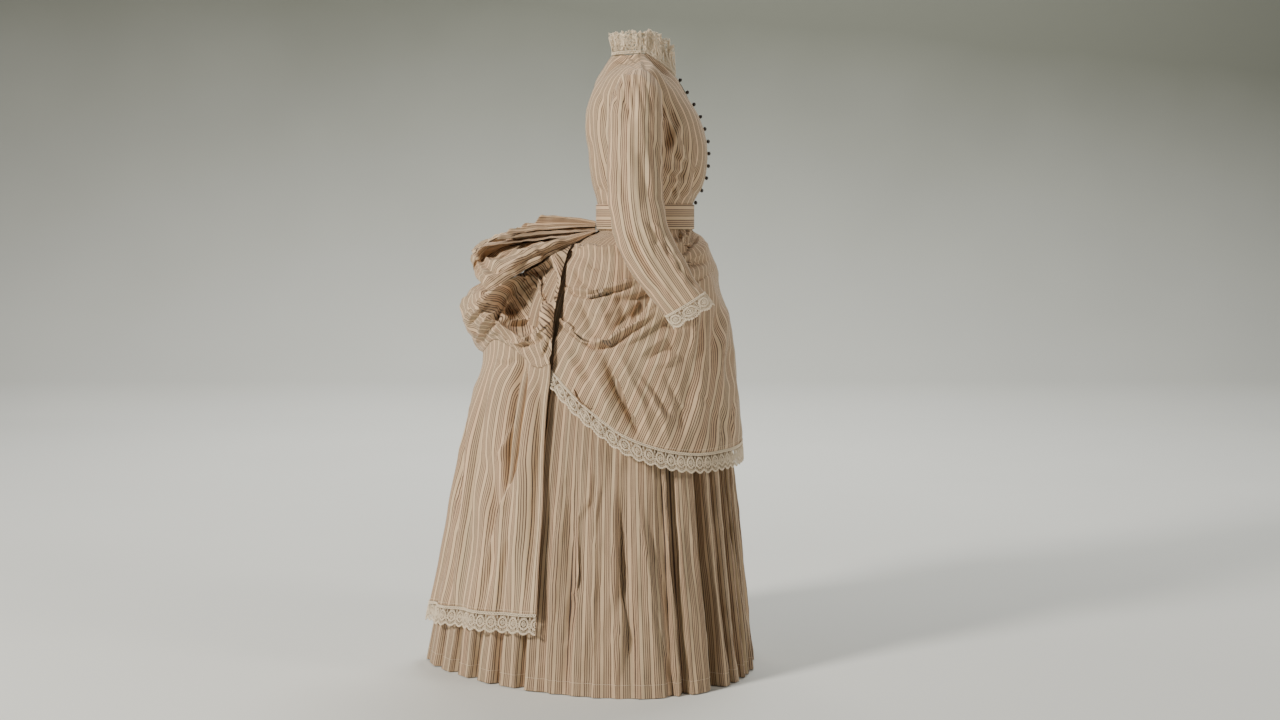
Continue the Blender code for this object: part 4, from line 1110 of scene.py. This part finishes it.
def panel_point(stage, place, drop=0.0):
    side = abs(place)
    top = lower_point(1.0, side) - (0, 0, SEAM + 0.0004)
    low = PANEL_LOW_BACK + (PANEL_LOW_SIDE - PANEL_LOW_BACK) * side
    z = top[2] + (low - top[2]) * stage - drop
    fold = sum(depth * bump(side, at, reach) for at, reach, depth in PANEL_FOLDS)
    angle = math.pi - math.radians(180 - PANEL_EDGE) * side
    hung = form_point(z, angle, PANEL_OUT - fold * ease(stage, 0.05, 0.5))
    point = top + (hung - top) * ease(stage, -0.02, 0.16)
    point[2] = z
    return point * (1, math.copysign(1, place), 1)


PANEL_CREASES = (
    (-19.0, 14, "soft", ((524, 346), (518, 400), (510, 460), (504, 510))),
    (11.0, 10, "lip", ((500, 350), (492, 410), (482, 470), (472, 540))),
    (-11.0, 14, "soft", ((488, 450), (494, 510), (488, 570), (476, 622))),
    (9.0, 12, "soft", ((530, 372), (526, 440), (520, 520), (508, 610))),
    (-9.0, 10, "soft", ((540, 366), (538, 440), (533, 520), (526, 610))),
    (8.0, 8, "lip", ((522, 462), (508, 486), (496, 516), (484, 560))),
    (-9.0, 11, "soft", ((466, 410), (462, 480), (452, 560), (444, 622))),
    (9.0, 10, "lip", ((478, 372), (470, 440), (460, 520), (452, 610))),
    (-7.0, 8, "soft", ((508, 536), (502, 575), (498, 622))),
    (5.0, 8, "lip", ((512, 420), (506, 440), (496, 462))),
    (-4.0, 6, "soft", ((516, 360), (506, 366), (496, 362))),
)


def back_panel():
    stages = (0.0, 0.04, 0.08, 0.13, 0.20, 0.30, 0.40, 0.50, 0.62, 0.75, 0.88, 1.0)
    rows = [[panel_point(v, p) for p in np.linspace(1, -1, 73)] for v in stages]
    points = fine(rows, 120, PANEL_COLUMNS)
    uv = cloth_uv(points, 70)
    low = ease(-points[..., 2], 0.3, 0.5)
    uneven = ruffle(points * (1, 1, 0.4), 0.0030, 0.11, 41) + crumple(points * (1, 1, 0.5), 0.0016, 0.08, 42)
    points += outward(points) * (uneven * low)[..., None]
    points = press(points, PANEL_CREASES)
    return cloth("back_panel_cloth", [hemmed(points, uv)], STRIPED, "back_panel")


PANEL = back_panel()
PANEL_SEWING = stitched_row("panel_stitches", PANEL, PANEL_COLUMNS, 0.018)
PANEL_CELLS = 32


def panel_lace_place(along, down):
    return panel_point(1.0, 1 - 2 * along / PANEL_CELLS, SEAM + down * LACE_DROP)


LACE_PANEL = yarn("panel_lace_yarn", lace_strands(panel_lace_place, PANEL_CELLS))
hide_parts("lace_back_panel")

# Bodice: two fronts that button together and a back, of the same cotton, cut close to the figure.
# They are joined at the shoulders and sides, and the belt covers their lower edge.

#  z, front, back, half
BODICE_FORM = (
    (0.000, 0.1030, -0.1070, 0.1164),
    (0.028, 0.1030, -0.1070, 0.1164),
    (0.044, 0.1110, -0.1105, 0.119),
    (0.059, 0.1200, -0.1145, 0.121),
    (0.081, 0.1280, -0.1195, 0.126),
    (0.113, 0.1340, -0.1250, 0.132),
    (0.142, 0.1352, -0.1285, 0.137),
    (0.175, 0.1305, -0.1330, 0.141),
    (0.205, 0.1215, -0.1335, 0.142),
    (0.224, 0.1130, -0.1325, 0.143),
    (0.254, 0.0960, -0.1270, 0.148),
    (0.286, 0.0786, -0.1150, 0.160),
    (0.306, 0.0660, -0.1050, 0.180),
    (0.337, 0.0400, -0.0860, 0.200),
    (0.354, 0.0200, -0.0730, 0.210),
)
BODICE = [smooth(BODICE_FORM, column) for column in range(1, 4)]
#  z, front half width, back half width of the armhole edge
ARMHOLE = (
    (0.205, 0.1420, 0.1420),
    (0.222, 0.1385, 0.1400),
    (0.245, 0.1370, 0.1420),
    (0.265, 0.1420, 0.1480),
    (0.285, 0.1530, 0.1570),
    (0.306, 0.1720, 0.1720),
)
ARM_FRONT, ARM_BACK = smooth(ARMHOLE, 1), smooth(ARMHOLE, 2)
UNDERARM_Z, SEAM_X, CHEST_TURN_Z = 0.205, -0.012, 0.215
SHOULDER_TIP, SHOULDER_NECK = (0.172, 0.306), (0.060, 0.352)
NECK_FRONT_Z, NECK_TOP_Z, NECK_HALF, NECK_CURVE = 0.305, 0.3505, 0.057, 0.62
CAP_FULL, CAP_FALL = 2.2, 0.55
SHOULDER_EASE, ARMHOLE_EASE, SHOULDER_LAP = 0.0009, 0.0008, 0.0006


def shoulder_z(y):
    slope = (SHOULDER_NECK[1] - SHOULDER_TIP[1]) / (SHOULDER_TIP[0] - SHOULDER_NECK[0])
    return SHOULDER_NECK[1] + (SHOULDER_NECK[0] - y) * (1.6 if y < SHOULDER_NECK[0] else slope)


def shoulder_cap(y, z):
    t = min(max((z - CHEST_TURN_Z) / (shoulder_z(y) - CHEST_TURN_Z), 0.0), 1.0)
    return (1 - t**CAP_FULL) ** CAP_FALL


def bodice_point(y, z, facing):
    reach, half = BODICE[0 if facing > 0 else 1](z), BODICE[2](z)
    side = WAIST_MID + (SEAM_X - WAIST_MID) * float(ease(z, 0.0, 0.3))
    oval_share = (1 - min(y / half, 1.0) ** WAIST_ROUND) ** (1 / WAIST_ROUND)
    cap = shoulder_cap(y, z) / shoulder_cap(0.0, z)
    return np.array((side + (reach - side) * oval_share * cap, y, z))


def outer_edge(z, facing):
    if z <= UNDERARM_Z:
        return BODICE[2](z)
    if z <= SHOULDER_TIP[1]:
        return (ARM_FRONT if facing > 0 else ARM_BACK)(z)
    slope = (SHOULDER_TIP[0] - SHOULDER_NECK[0]) / (SHOULDER_NECK[1] - SHOULDER_TIP[1])
    return SHOULDER_TIP[0] - (z - SHOULDER_TIP[1]) * slope


def neck_edge(z):
    share = min(max((z - NECK_FRONT_Z) / (SHOULDER_NECK[1] - NECK_FRONT_Z), 0.0), 1.0)
    return NECK_HALF * share**NECK_CURVE


BODICE_CREASES = (
    (-6.0, 6, "soft", ((660, 96), (662, 108), (664, 120))),
    (-8.0, 10, "soft", ((665, 120), (668, 134), (666, 150))),
    (4.0, 7, "soft", ((668, 156), (674, 140), (681, 122))),
    (-3.5, 7, "soft", ((671, 152), (678, 160), (688, 164))),
    (3.0, 6, "soft", ((668, 184), (678, 180), (688, 184))),
    (-5.0, 6, "soft", ((669, 108), (673, 118), (678, 128))),
    (-5.0, 6, "lip", ((680, 132), (686, 146), (690, 162))),
    (4.0, 7, "soft", ((674, 136), (679, 150), (684, 164))),
    (-5.0, 6, "soft", ((666, 176), (676, 178), (686, 174))),
    (4.0, 7, "soft", ((664, 166), (674, 170), (684, 168))),
    (-6.0, 4, "lip", ((697, 164), (695, 182), (692, 200))),
    (-4.0, 5, "soft", ((687, 158), (684, 172), (680, 186))),
    (3.0, 5, "soft", ((690, 170), (688, 186), (686, 200))),
    (-3.0, 4, "soft", ((672, 186), (673, 196), (673, 206))),
    (-3.0, 4, "soft", ((680, 188), (681, 196), (680, 206))),
    (3.0, 4, "soft", ((676, 186), (677, 196), (677, 206))),
    (-4.0, 5, "lip", ((622, 53), (638, 62), (654, 76), (664, 92))),
    (-3.5, 5, "lip", ((616, 62), (630, 64), (645, 72))),
    (3.0, 5, "soft", ((630, 52), (648, 62), (662, 76))),
    (-3.0, 5, "soft", ((648, 56), (664, 72), (674, 90))),
    (-3.0, 6, "soft", ((590, 120), (592, 150), (598, 180))),
    (3.0, 6, "soft", ((596, 116), (600, 150), (606, 190))),
    (-3.0, 6, "soft", ((600, 90), (604, 110), (606, 130))),
    (-3.0, 5, "soft", ((598, 186), (603, 192), (608, 204))),
)

BODICE_HEIGHTS = np.concatenate([np.linspace(NECK_TOP_Z, 0.300, 30), np.linspace(0.298, 0.0005, 100)])
FRONT_FINE = 80


def bodice_row(z, facing, low):
    edge = outer_edge(z, facing)
    spread = low + (edge - low) * np.sin(np.linspace(0, math.pi / 2, FRONT_FINE))
    gap = np.linspace(0, SEAM / 2 if z < UNDERARM_Z else -SHOULDER_LAP, FRONT_FINE) * facing
    return [bodice_point(y, z, facing) + (g, 0, 0) for y, g in zip(spread, gap)]


def outer_distance(points):
    """How far each point is from the side edges of its panel, so that its seams stay shut."""
    first = np.linalg.norm(points - points[:, :1], axis=2)
    return np.minimum(first, np.linalg.norm(points - points[:, -1:], axis=2))


GRAIN_Z, GRAIN_BEYOND = 0.25, 1.3


def run_of_row(z, facing):
    """Half a row of the bodice: its distances from the middle, and the length of cloth to each."""
    half = BODICE[2](z)
    out = half * np.sin(np.linspace(0, math.pi / 2, 60))
    line = np.array([bodice_point(y, z, facing) for y in out])
    return out, run_along(line)


def grain_uv(points, facing):
    """Stripes on the straight grain: round the body low down, and over the shoulder above."""
    top_out, top_run = run_of_row(GRAIN_Z, facing)
    u = np.empty(points.shape[:2])
    for k, row in enumerate(points):
        z, y = row[:, 2].mean(), np.abs(row[:, 1])
        over = float(ease(z, GRAIN_Z - 0.02, GRAIN_Z + 0.05))
        out, run = run_of_row(min(z, GRAIN_Z), facing)
        above = np.interp(y, top_out, top_run) + np.maximum(y - top_out[-1], 0) * GRAIN_BEYOND
        u[k] = (np.interp(y, out, run) * (1 - over) + above * over) * np.sign(row[:, 1])
    return np.stack([u, points[..., 2]], axis=-1)


def bodice():
    left = np.array([bodice_row(z, 1, max(neck_edge(z), SEAM / 2)) for z in BODICE_HEIGHTS])
    back_half = np.array([bodice_row(z, -1, 0.0) for z in BODICE_HEIGHTS])
    right = left[:, ::-1] * (1, -1, 1)
    back = np.concatenate([back_half[:, ::-1], back_half[:, 1:] * (1, -1, 1)], axis=1)
    made = []
    parts = (
        ("front_left_cloth", "bodice_front_left", left, 51),
        ("front_right_cloth", "bodice_front_right", right, 52),
        ("bodice_back_cloth", "bodice_back", back, 53),
    )
    for name, node, points, seed in parts:
        uv = grain_uv(points, -1 if node == "bodice_back" else 1)
        calm = ease(points[..., 2], 0.03, 0.06)
        uneven = ruffle(points, 0.0016, 0.08, seed) + crumple(points, 0.0010, 0.07, seed + 20)
        points = points + outward(points) * (uneven * calm)[..., None]
        held = ease(outer_distance(points), 0.0, 0.016)[..., None] * calm[..., None]
        points = points + (press(points, BODICE_CREASES) - points) * held
        made.append(cloth(name, [(points, uv)], STRIPED, node))
    return made


FRONT_LEFT, FRONT_RIGHT, BODICE_BACK = bodice()
PLACKET = 0.010
front_points, front_normals = (grid[:, ::-1] for grid in grid_of(FRONT_RIGHT, FRONT_FINE))
across = np.cumsum(np.linalg.norm(np.diff(front_points, axis=1), axis=2), axis=1)
column = np.argmax(across > PLACKET, axis=1) + 1
rows = np.arange(len(front_points))
placket_row = stitches(front_points[rows, column], front_normals[rows, column])
FRONT_SEWING = yarn("placket_stitches", placket_row, 3)

# Collar: two layers of the same lace, gathered into a standing frill. They are sewn round the neck
# of the bodice and open in front.
COLLAR_HEIGHT, COLLAR_FRONT_HEIGHT, COLLAR_LIFT, COLLAR_OPEN = 0.046, 0.064, 0.0014, 4
FRILL_LEAN, FRILL_WAIST, FRILL_BACK = 0.003, 0.006, 0.011
COLLAR_CELLS, NECK_TURN = 18, 0.14


def neckline(turn):
    ahead = min(turn, math.pi / 2 - NECK_TURN)
    y = NECK_HALF * math.sin(ahead * math.pi / 2 / (math.pi / 2 - NECK_TURN))
    z = NECK_FRONT_Z + (NECK_TOP_Z - NECK_FRONT_Z) * (y / NECK_HALF) ** (1 / NECK_CURVE)
    front = bodice_point(y, z, 1)
    behind = max(turn, math.pi / 2 + NECK_TURN)
    share = math.sin((math.pi - behind) * math.pi / 2 / (math.pi / 2 - NECK_TURN))
    back = bodice_point(outer_edge(NECK_TOP_Z, -1) * share, NECK_TOP_Z, -1)
    share = float(ease(turn, math.pi / 2 - NECK_TURN, math.pi / 2 + NECK_TURN))
    return front + (back - front) * share


def collar_point(turn, up, waves, depth):
    side = 1 if turn >= 0 else -1
    t = abs(turn)
    base = neckline(t)
    height = COLLAR_HEIGHT + (COLLAR_FRONT_HEIGHT - COLLAR_HEIGHT) * float(ease(t, 1.6, 0.5))
    front = float(ease(t, 1.6, 0.3))
    wave = math.sin(waves * t + 1.7 * math.sin(2.3 * t)) + 0.5 * math.sin(1.7 * waves * t + 2.0)
    frill = depth * wave * up
    lean = FRILL_LEAN * up - FRILL_WAIST * math.sin(math.pi * up) - FRILL_BACK * front * up
    away = np.array((math.cos(t), math.sin(t), 0.0))
    ripple = 0.003 * math.sin(waves * 0.8 * t + 1.0) * up
    return (base + away * (lean + frill) + (0, 0, COLLAR_LIFT + up * height + ripple)) * (1, side, 1)


def collar_place(waves, depth, inside):
    open_turn = math.radians(COLLAR_OPEN)

    def place(along, down):
        turn = open_turn + (2 * math.pi - 2 * open_turn) * along / COLLAR_CELLS
        turn = turn if turn <= math.pi else turn - 2 * math.pi
        point = collar_point(turn, down, waves, depth)
        return point - np.array((math.cos(turn), math.sin(turn), 0)) * inside

    return place


collar_strands = lace_strands(collar_place(15, 0.0058, 0.0), COLLAR_CELLS)
collar_strands += lace_strands(collar_place(20, 0.0050, 0.0040), COLLAR_CELLS)
COLLAR = yarn("collar_yarn", collar_strands, 3)
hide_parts("lace_collar")

# Belt: a folded band of the same cotton, whose stripes lie round the waist. It covers the join of
# bodice and skirts, and hooks at the front.
BELTING = cotton("belt cotton", 0.30, 0.0008)
BELT_HALF, BELT_THICK, BELT_EASE = 0.0270, 0.0024, 0.0006
BELT_ROUND, BELT_SHIFT = 0.72, 0.00575


def waist_point(z, angle, out):
    place = oval(angle, WAIST_FRONT, WAIST_BACK, WAIST_HALF, WAIST_MID, WAIST_ROUND, WAIST_ROUND, out)
    return np.append(place, z)


def belt():
    angles = np.linspace(0, 2 * math.pi, 200, endpoint=False)
    out = BELT_EASE + BELT_THICK
    profile = [(-BELT_HALF + 0.006, BELT_EASE), (-BELT_HALF, BELT_EASE + 0.0006), (-BELT_HALF, out - 0.0008)]
    profile += [(z, out) for z in np.linspace(-BELT_HALF + 0.0012, BELT_HALF - 0.0012, 13)]
    profile += [(BELT_HALF, out - 0.0008), (BELT_HALF, BELT_EASE + 0.0006), (BELT_HALF - 0.006, BELT_EASE)]
    profile.reverse()
    points = np.array([[waist_point(z, a, o) for a in angles] for z, o in profile])
    around = np.linspace(0, BELT_ROUND, len(angles) + 1)
    up = np.array([z for z, _ in profile]) + BELT_SHIFT
    uv = np.stack(np.broadcast_arrays(up[:, None], around[None, :]), axis=-1)
    return cloth("belt_cloth", [(points, uv)], BELTING, "belt", closed=True)


BELT = belt()

# Sleeves: a narrow tube of the same cotton each, cut to the bent elbow. Their heads are eased and
# gathered into the armholes, and a band of lace is sewn to each wrist.

#  centre x, y, z, outward y, outward z, along x, along z
SLEEVE_RINGS = (
    (-0.016, 0.1665, 0.2580, 0.0215, 0.0480, 0.0470, 0.000),
    (-0.020, 0.1830, 0.2420, 0.0390, 0.0330, 0.0540, 0.000),
    (-0.0230, 0.1955, 0.2120, 0.0470, 0.0120, 0.0565, 0.000),
    (-0.0243, 0.2020, 0.1600, 0.0470, 0.0000, 0.0580, 0.000),
    (-0.0240, 0.2090, 0.0950, 0.0470, 0.0000, 0.0580, 0.002),
    (-0.0220, 0.2160, 0.0350, 0.0475, 0.0000, 0.0580, 0.006),
    (-0.0150, 0.2230, -0.0120, 0.0480, 0.0000, 0.0570, 0.016),
    (-0.0010, 0.2300, -0.0560, 0.0460, 0.0000, 0.0530, 0.025),
    (0.0220, 0.2370, -0.0980, 0.0440, 0.0000, 0.0470, 0.030),
    (0.0480, 0.2440, -0.1360, 0.0410, 0.0000, 0.0430, 0.028),
    (0.0790, 0.2510, -0.1790, 0.0370, 0.0000, 0.0410, 0.025),
)
SLEEVE_SIDES = 32
SLEEVE_CREASES = (
    (-4.0, 12, "soft", ((630, 104), (624, 120), (618, 138))),
    (3.0, 8, "soft", ((640, 90), (641, 120), (644, 150))),
    (-3.5, 5, "lip", ((650, 128), (655, 148), (659, 168), (661, 186))),
    (3.0, 6, "soft", ((645, 140), (649, 168), (653, 196))),
    (-3.5, 7, "soft", ((640, 150), (645, 176), (649, 204))),
    (3.0, 8, "soft", ((628, 140), (634, 180), (640, 214))),
    (-3.0, 7, "soft", ((616, 140), (622, 180), (630, 220))),
    (-3.5, 4, "soft", ((648, 222), (655, 234), (657, 248))),
    (3.5, 4, "soft", ((653, 222), (660, 232), (664, 246))),
    (-3.5, 4, "soft", ((658, 232), (666, 244), (670, 258))),
    (3.5, 4, "soft", ((663, 238), (672, 250), (676, 264))),
    (-3.5, 4, "soft", ((668, 248), (677, 260), (682, 274))),
    (3.0, 4, "soft", ((672, 258), (682, 272), (686, 284))),
    (5.0, 5, "lip", ((636, 218), (648, 240), (655, 262))),
    (-4.0, 6, "soft", ((654, 268), (664, 284), (676, 298))),
    (4.0, 5, "lip", ((648, 262), (660, 280), (670, 296))),
    (-3.5, 5, "lip", ((622, 96), (628, 110), (630, 126))),
    (-4.0, 4, "soft", ((676, 264), (688, 276), (697, 290))),
    (-4.0, 5, "soft", ((640, 226), (652, 244), (658, 262))),
    (4.0, 5, "soft", ((632, 228), (644, 248), (652, 268))),
    (-3.0, 7, "soft", ((628, 226), (640, 254), (656, 280), (668, 296))),
    (3.0, 7, "soft", ((622, 224), (634, 252), (650, 280), (662, 300))),
    (5.0, 4, "soft", ((606, 84), (614, 79), (626, 77), (640, 77), (650, 84))),
    (-4.0, 3, "soft", ((612, 78), (614, 92), (616, 106))),
    (-4.5, 3, "soft", ((621, 76), (623, 92), (625, 112))),
    (-4.5, 3, "soft", ((630, 75), (632, 94), (635, 118))),
    (-4.0, 3, "soft", ((638, 76), (641, 94), (643, 110))),
    (-3.0, 4, "soft", ((646, 80), (650, 98), (654, 118))),
)


def armhole_ring():
    middle, reach = (SHOULDER_TIP[1] + UNDERARM_Z) / 2, (SHOULDER_TIP[1] - UNDERARM_Z) / 2
    ring = []
    for k in range(SLEEVE_SIDES):
        turn = 2 * math.pi * k / SLEEVE_SIDES
        z = middle + reach * math.cos(turn)
        facing = 1 if turn <= math.pi else -1
        gap = 0.0 if k in (0, SLEEVE_SIDES // 2) else facing * SHOULDER_EASE
        ring.append(bodice_point(outer_edge(z, facing), z, facing) + (gap, ARMHOLE_EASE, 0))
    return ring


def sleeve_ring(row):
    x, y, z, out_y, out_z, along_x, along_z = row
    turns = 2 * math.pi * np.arange(SLEEVE_SIDES) / SLEEVE_SIDES
    outward_part = np.outer(np.cos(turns), (0, out_y, out_z))
    return list(np.array((x, y, z)) + outward_part + np.outer(np.sin(turns), (along_x, 0, along_z)))


def sleeves():
    made = []
    rings = [armhole_ring()] + [sleeve_ring(row) for row in SLEEVE_RINGS]
    left = [[ring[0]] + ring[:0:-1] for ring in rings]
    right = [[point * (1, -1, 1) for point in ring] for ring in rings]
    for hand, rows, seed in (("left", left, 61), ("right", right, 62)):
        points = fine(rows, 150, 88, closed=True)
        uv = cloth_uv(points, 60, closed=True)
        low = ease(runs(points, 0), 0.01, 0.05)[:, None]
        uneven = ruffle(points, 0.0024, 0.07, seed) + crumple(points, 0.0014, 0.06, seed + 20)
        points = points + outward(points, True) * (uneven * low)[..., None]
        side = (1,) if hand == "left" else (-1,)
        seam = ease(runs(points, 0), 0.0, 0.012)[:, None, None]
        points = points + (press(points, SLEEVE_CREASES, True, side) - points) * seam
        sheet = [(points, uv)]
        made.append(cloth(f"sleeve_{hand}_cloth", sheet, STRIPED, f"sleeve_{hand}", closed=True))
    return made


SLEEVE_LEFT, SLEEVE_RIGHT = sleeves()

# Cuff laces: the same crocheted lace round each wrist, in a front and a back half. They are sewn to
# the sleeves' edges, and meet at the sleeves' seams.
CUFF_CELLS, CUFF_DROP, CUFF_FLARE, CUFF_PARTING = 4, 0.034, 0.02, 0.004


def cuff_place(side, start):
    last, before = np.array(SLEEVE_RINGS[-1]), np.array(SLEEVE_RINGS[-2])
    run = (last - before)[:3]
    run /= np.linalg.norm(run)

    def place(along, down):
        turn = start + math.pi * (CUFF_PARTING + along / CUFF_CELLS * (1 - 2 * CUFF_PARTING))
        centre = last[:3] + run * (SEAM + down * CUFF_DROP)
        flare = 1 + CUFF_FLARE * down
        out_part, ahead = np.array((0, last[3] * flare, last[4])), np.array((last[5] * flare, 0, last[6]))
        return (centre + out_part * math.cos(turn) - side * ahead * math.sin(turn)) * (1, side, 1)

    return place


for hand, side in (("left", 1), ("right", -1)):
    for part, start in (("back", 0.0 if side > 0 else math.pi), ("front", math.pi if side > 0 else 0.0)):
        strands = lace_strands(cuff_place(side, start), CUFF_CELLS)
        yarn(f"cuff_{hand}_{part}_yarn", strands)
        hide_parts(f"lace_cuff_{hand}_{part}")

# Buttons: eleven small dark balls with a dull gloss, sewn down the edge of the right front. They
# close through buttonholes in the left one.
BUTTON_GLOSS, button_tree, button_shader = new_material("dark button", 0.32)
button_place = add(button_tree, "ShaderNodeTexCoord")
button_cloud = noise(button_tree, button_place.outputs["Object"], 420.0, 3.0)
button_tone = mixed(button_tree, "MIX", button_cloud, (0.012, 0.009, 0.008, 1), (0.040, 0.028, 0.022, 1))
button_tree.links.new(button_tone, button_shader.inputs["Base Color"])
BUTTON_REACH, BUTTON_HALF, BUTTON_LEAN = 0.0046, 0.0038, 82
for name in sorted(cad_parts):
    if not name.startswith("button_"):
        continue
    low, high = (np.array(corner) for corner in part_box(name))
    turns = np.linspace(0, 2 * math.pi, 20, endpoint=False)
    rings = []
    for lift in np.linspace(math.pi * 0.04, math.pi * 0.96, 13):
        size = math.sin(lift) * BUTTON_REACH
        rings.append([(size * math.cos(t), size * math.sin(t), BUTTON_HALF * math.cos(lift)) for t in turns])
    points = np.array(rings)
    sheet = [(points, cloth_uv(points, 6, closed=True))]
    piece = cloth(f"{name}_ball", sheet, BUTTON_GLOSS, name, closed=True)
    piece.location = (low + high) / 2
    piece.rotation_euler = (0, math.radians(BUTTON_LEAN), 0)

# Studio: a floor that sweeps up into a grey wall, with painted light and shade on both. The key light is a
# soft one from behind the dress on the camera's left, and the others fill its front and back and wash the
# wall.
FLOOR_Z, WALL_Y, WALL_TOP, SWEEP_TURN, STUDIO_HALF = -0.9900, 6.2, 6.0, 1.6, 8.0
SWEEP = [(-6.0, 0.0), (0.6, 0.0), (WALL_Y - SWEEP_TURN, 0.0)]
for turn in np.linspace(0.15, math.pi / 2, 12):
    SWEEP.append((WALL_Y - SWEEP_TURN + SWEEP_TURN * math.sin(turn), SWEEP_TURN * (1 - math.cos(turn))))
SWEEP.append((WALL_Y, WALL_TOP))
sweep_mesh = bpy.data.meshes.new("studio_sweep")
sweep_points = [(x, y, FLOOR_Z + z) for y, z in SWEEP for x in (-STUDIO_HALF, STUDIO_HALF)]
sweep_faces = [(2 * k, 2 * k + 1, 2 * k + 3, 2 * k + 2) for k in range(len(SWEEP) - 1)]
sweep_mesh.from_pydata(sweep_points, [], sweep_faces)
sweep_mesh.shade_smooth()
sweep = bpy.data.objects.new("studio_sweep", sweep_mesh)
bpy.context.scene.collection.objects.link(sweep)
WALL, wall_tree, wall_shader = new_material("studio grey", 0.95)
wall_place = add(wall_tree, "ShaderNodeTexCoord")
wall_cloud = noise(wall_tree, wall_place.outputs["Object"], 1.2, 2.0)
wall_parts = add(wall_tree, "ShaderNodeSeparateXYZ")
wall_tree.links.new(wall_place.outputs["Object"], wall_parts.inputs[0])
# Painted light and shade on the backdrop: the wall is painted darker to the right and upwards, and the floor
# is painted paler than it
wall_x, wall_z = wall_parts.outputs[0], wall_parts.outputs[2]
wall_painted_falloff = calc(wall_tree, "MULTIPLY_ADD", wall_x, -0.027, 0.314)
wall_painted_falloff = calc(wall_tree, "ADD", wall_painted_falloff, calc(wall_tree, "MULTIPLY", wall_z, -0.312))
floor_painted_light = calc(wall_tree, "MAXIMUM", calc(wall_tree, "MULTIPLY_ADD", wall_z, -1.9, -1.6), 0.0)
wall_painted_falloff = calc(wall_tree, "ADD", wall_painted_falloff, floor_painted_light)
wall_painted_light_and_mottle = calc(wall_tree, "ADD", wall_painted_falloff, calc(wall_tree, "MULTIPLY", wall_cloud, 0.08))
wall_painted_light_and_mottle = calc(wall_tree, "MAXIMUM", calc(wall_tree, "MINIMUM", wall_painted_light_and_mottle, 1.0), 0.0)
wall_tone = mixed(wall_tree, "MIX", wall_painted_light_and_mottle, (0.150, 0.156, 0.127, 1), (0.74, 0.75, 0.712, 1))
wall_tree.links.new(wall_tone, wall_shader.inputs["Base Color"])
sweep_mesh.materials.append(WALL)

#  name, place, aimed at, size, watts, colour
LAMPS = (
    ("left_key", (-4.3, -3.3, 2.5), (0.0, 0.0, -0.25), 1.1, 455, (1.0, 0.950, 0.875)),
    ("front_fill", (3.9, -2.0, 1.4), (0.0, 0.0, -0.15), 1.2, 72, (1.0, 0.95, 0.88)),
    ("wall_wash", (0.8, 2.6, 4.4), (0.8, 5.6, -0.6), 2.4, 310, (1.0, 1.0, 0.98)),
    ("back_fill", (-1.6, 5.2, 2.6), (0.0, 0.0, -0.3), 1.8, 60, (1.0, 0.98, 0.95)),
)
for name, place, aim, size, watts, colour in LAMPS:
    lamp = bpy.data.objects.new(name, bpy.data.lights.new(name, "AREA"))
    lamp.data.shape = "DISK"
    lamp.data.size = size
    lamp.data.energy = watts
    lamp.data.color = colour
    away = np.array(place) - np.array(aim)
    lamp.location = place
    turn = math.atan2(away[0], -away[1])
    lamp.rotation_euler = (math.atan2(math.hypot(away[0], away[1]), away[2]), 0, turn)
    bpy.context.scene.collection.objects.link(lamp)
world = bpy.data.worlds.new("studio_world")
world.use_nodes = True
world.node_tree.nodes["Background"].inputs["Color"].default_value = (0.80, 0.82, 0.84, 1)
world.node_tree.nodes["Background"].inputs["Strength"].default_value = 0.085
bpy.context.scene.world = world
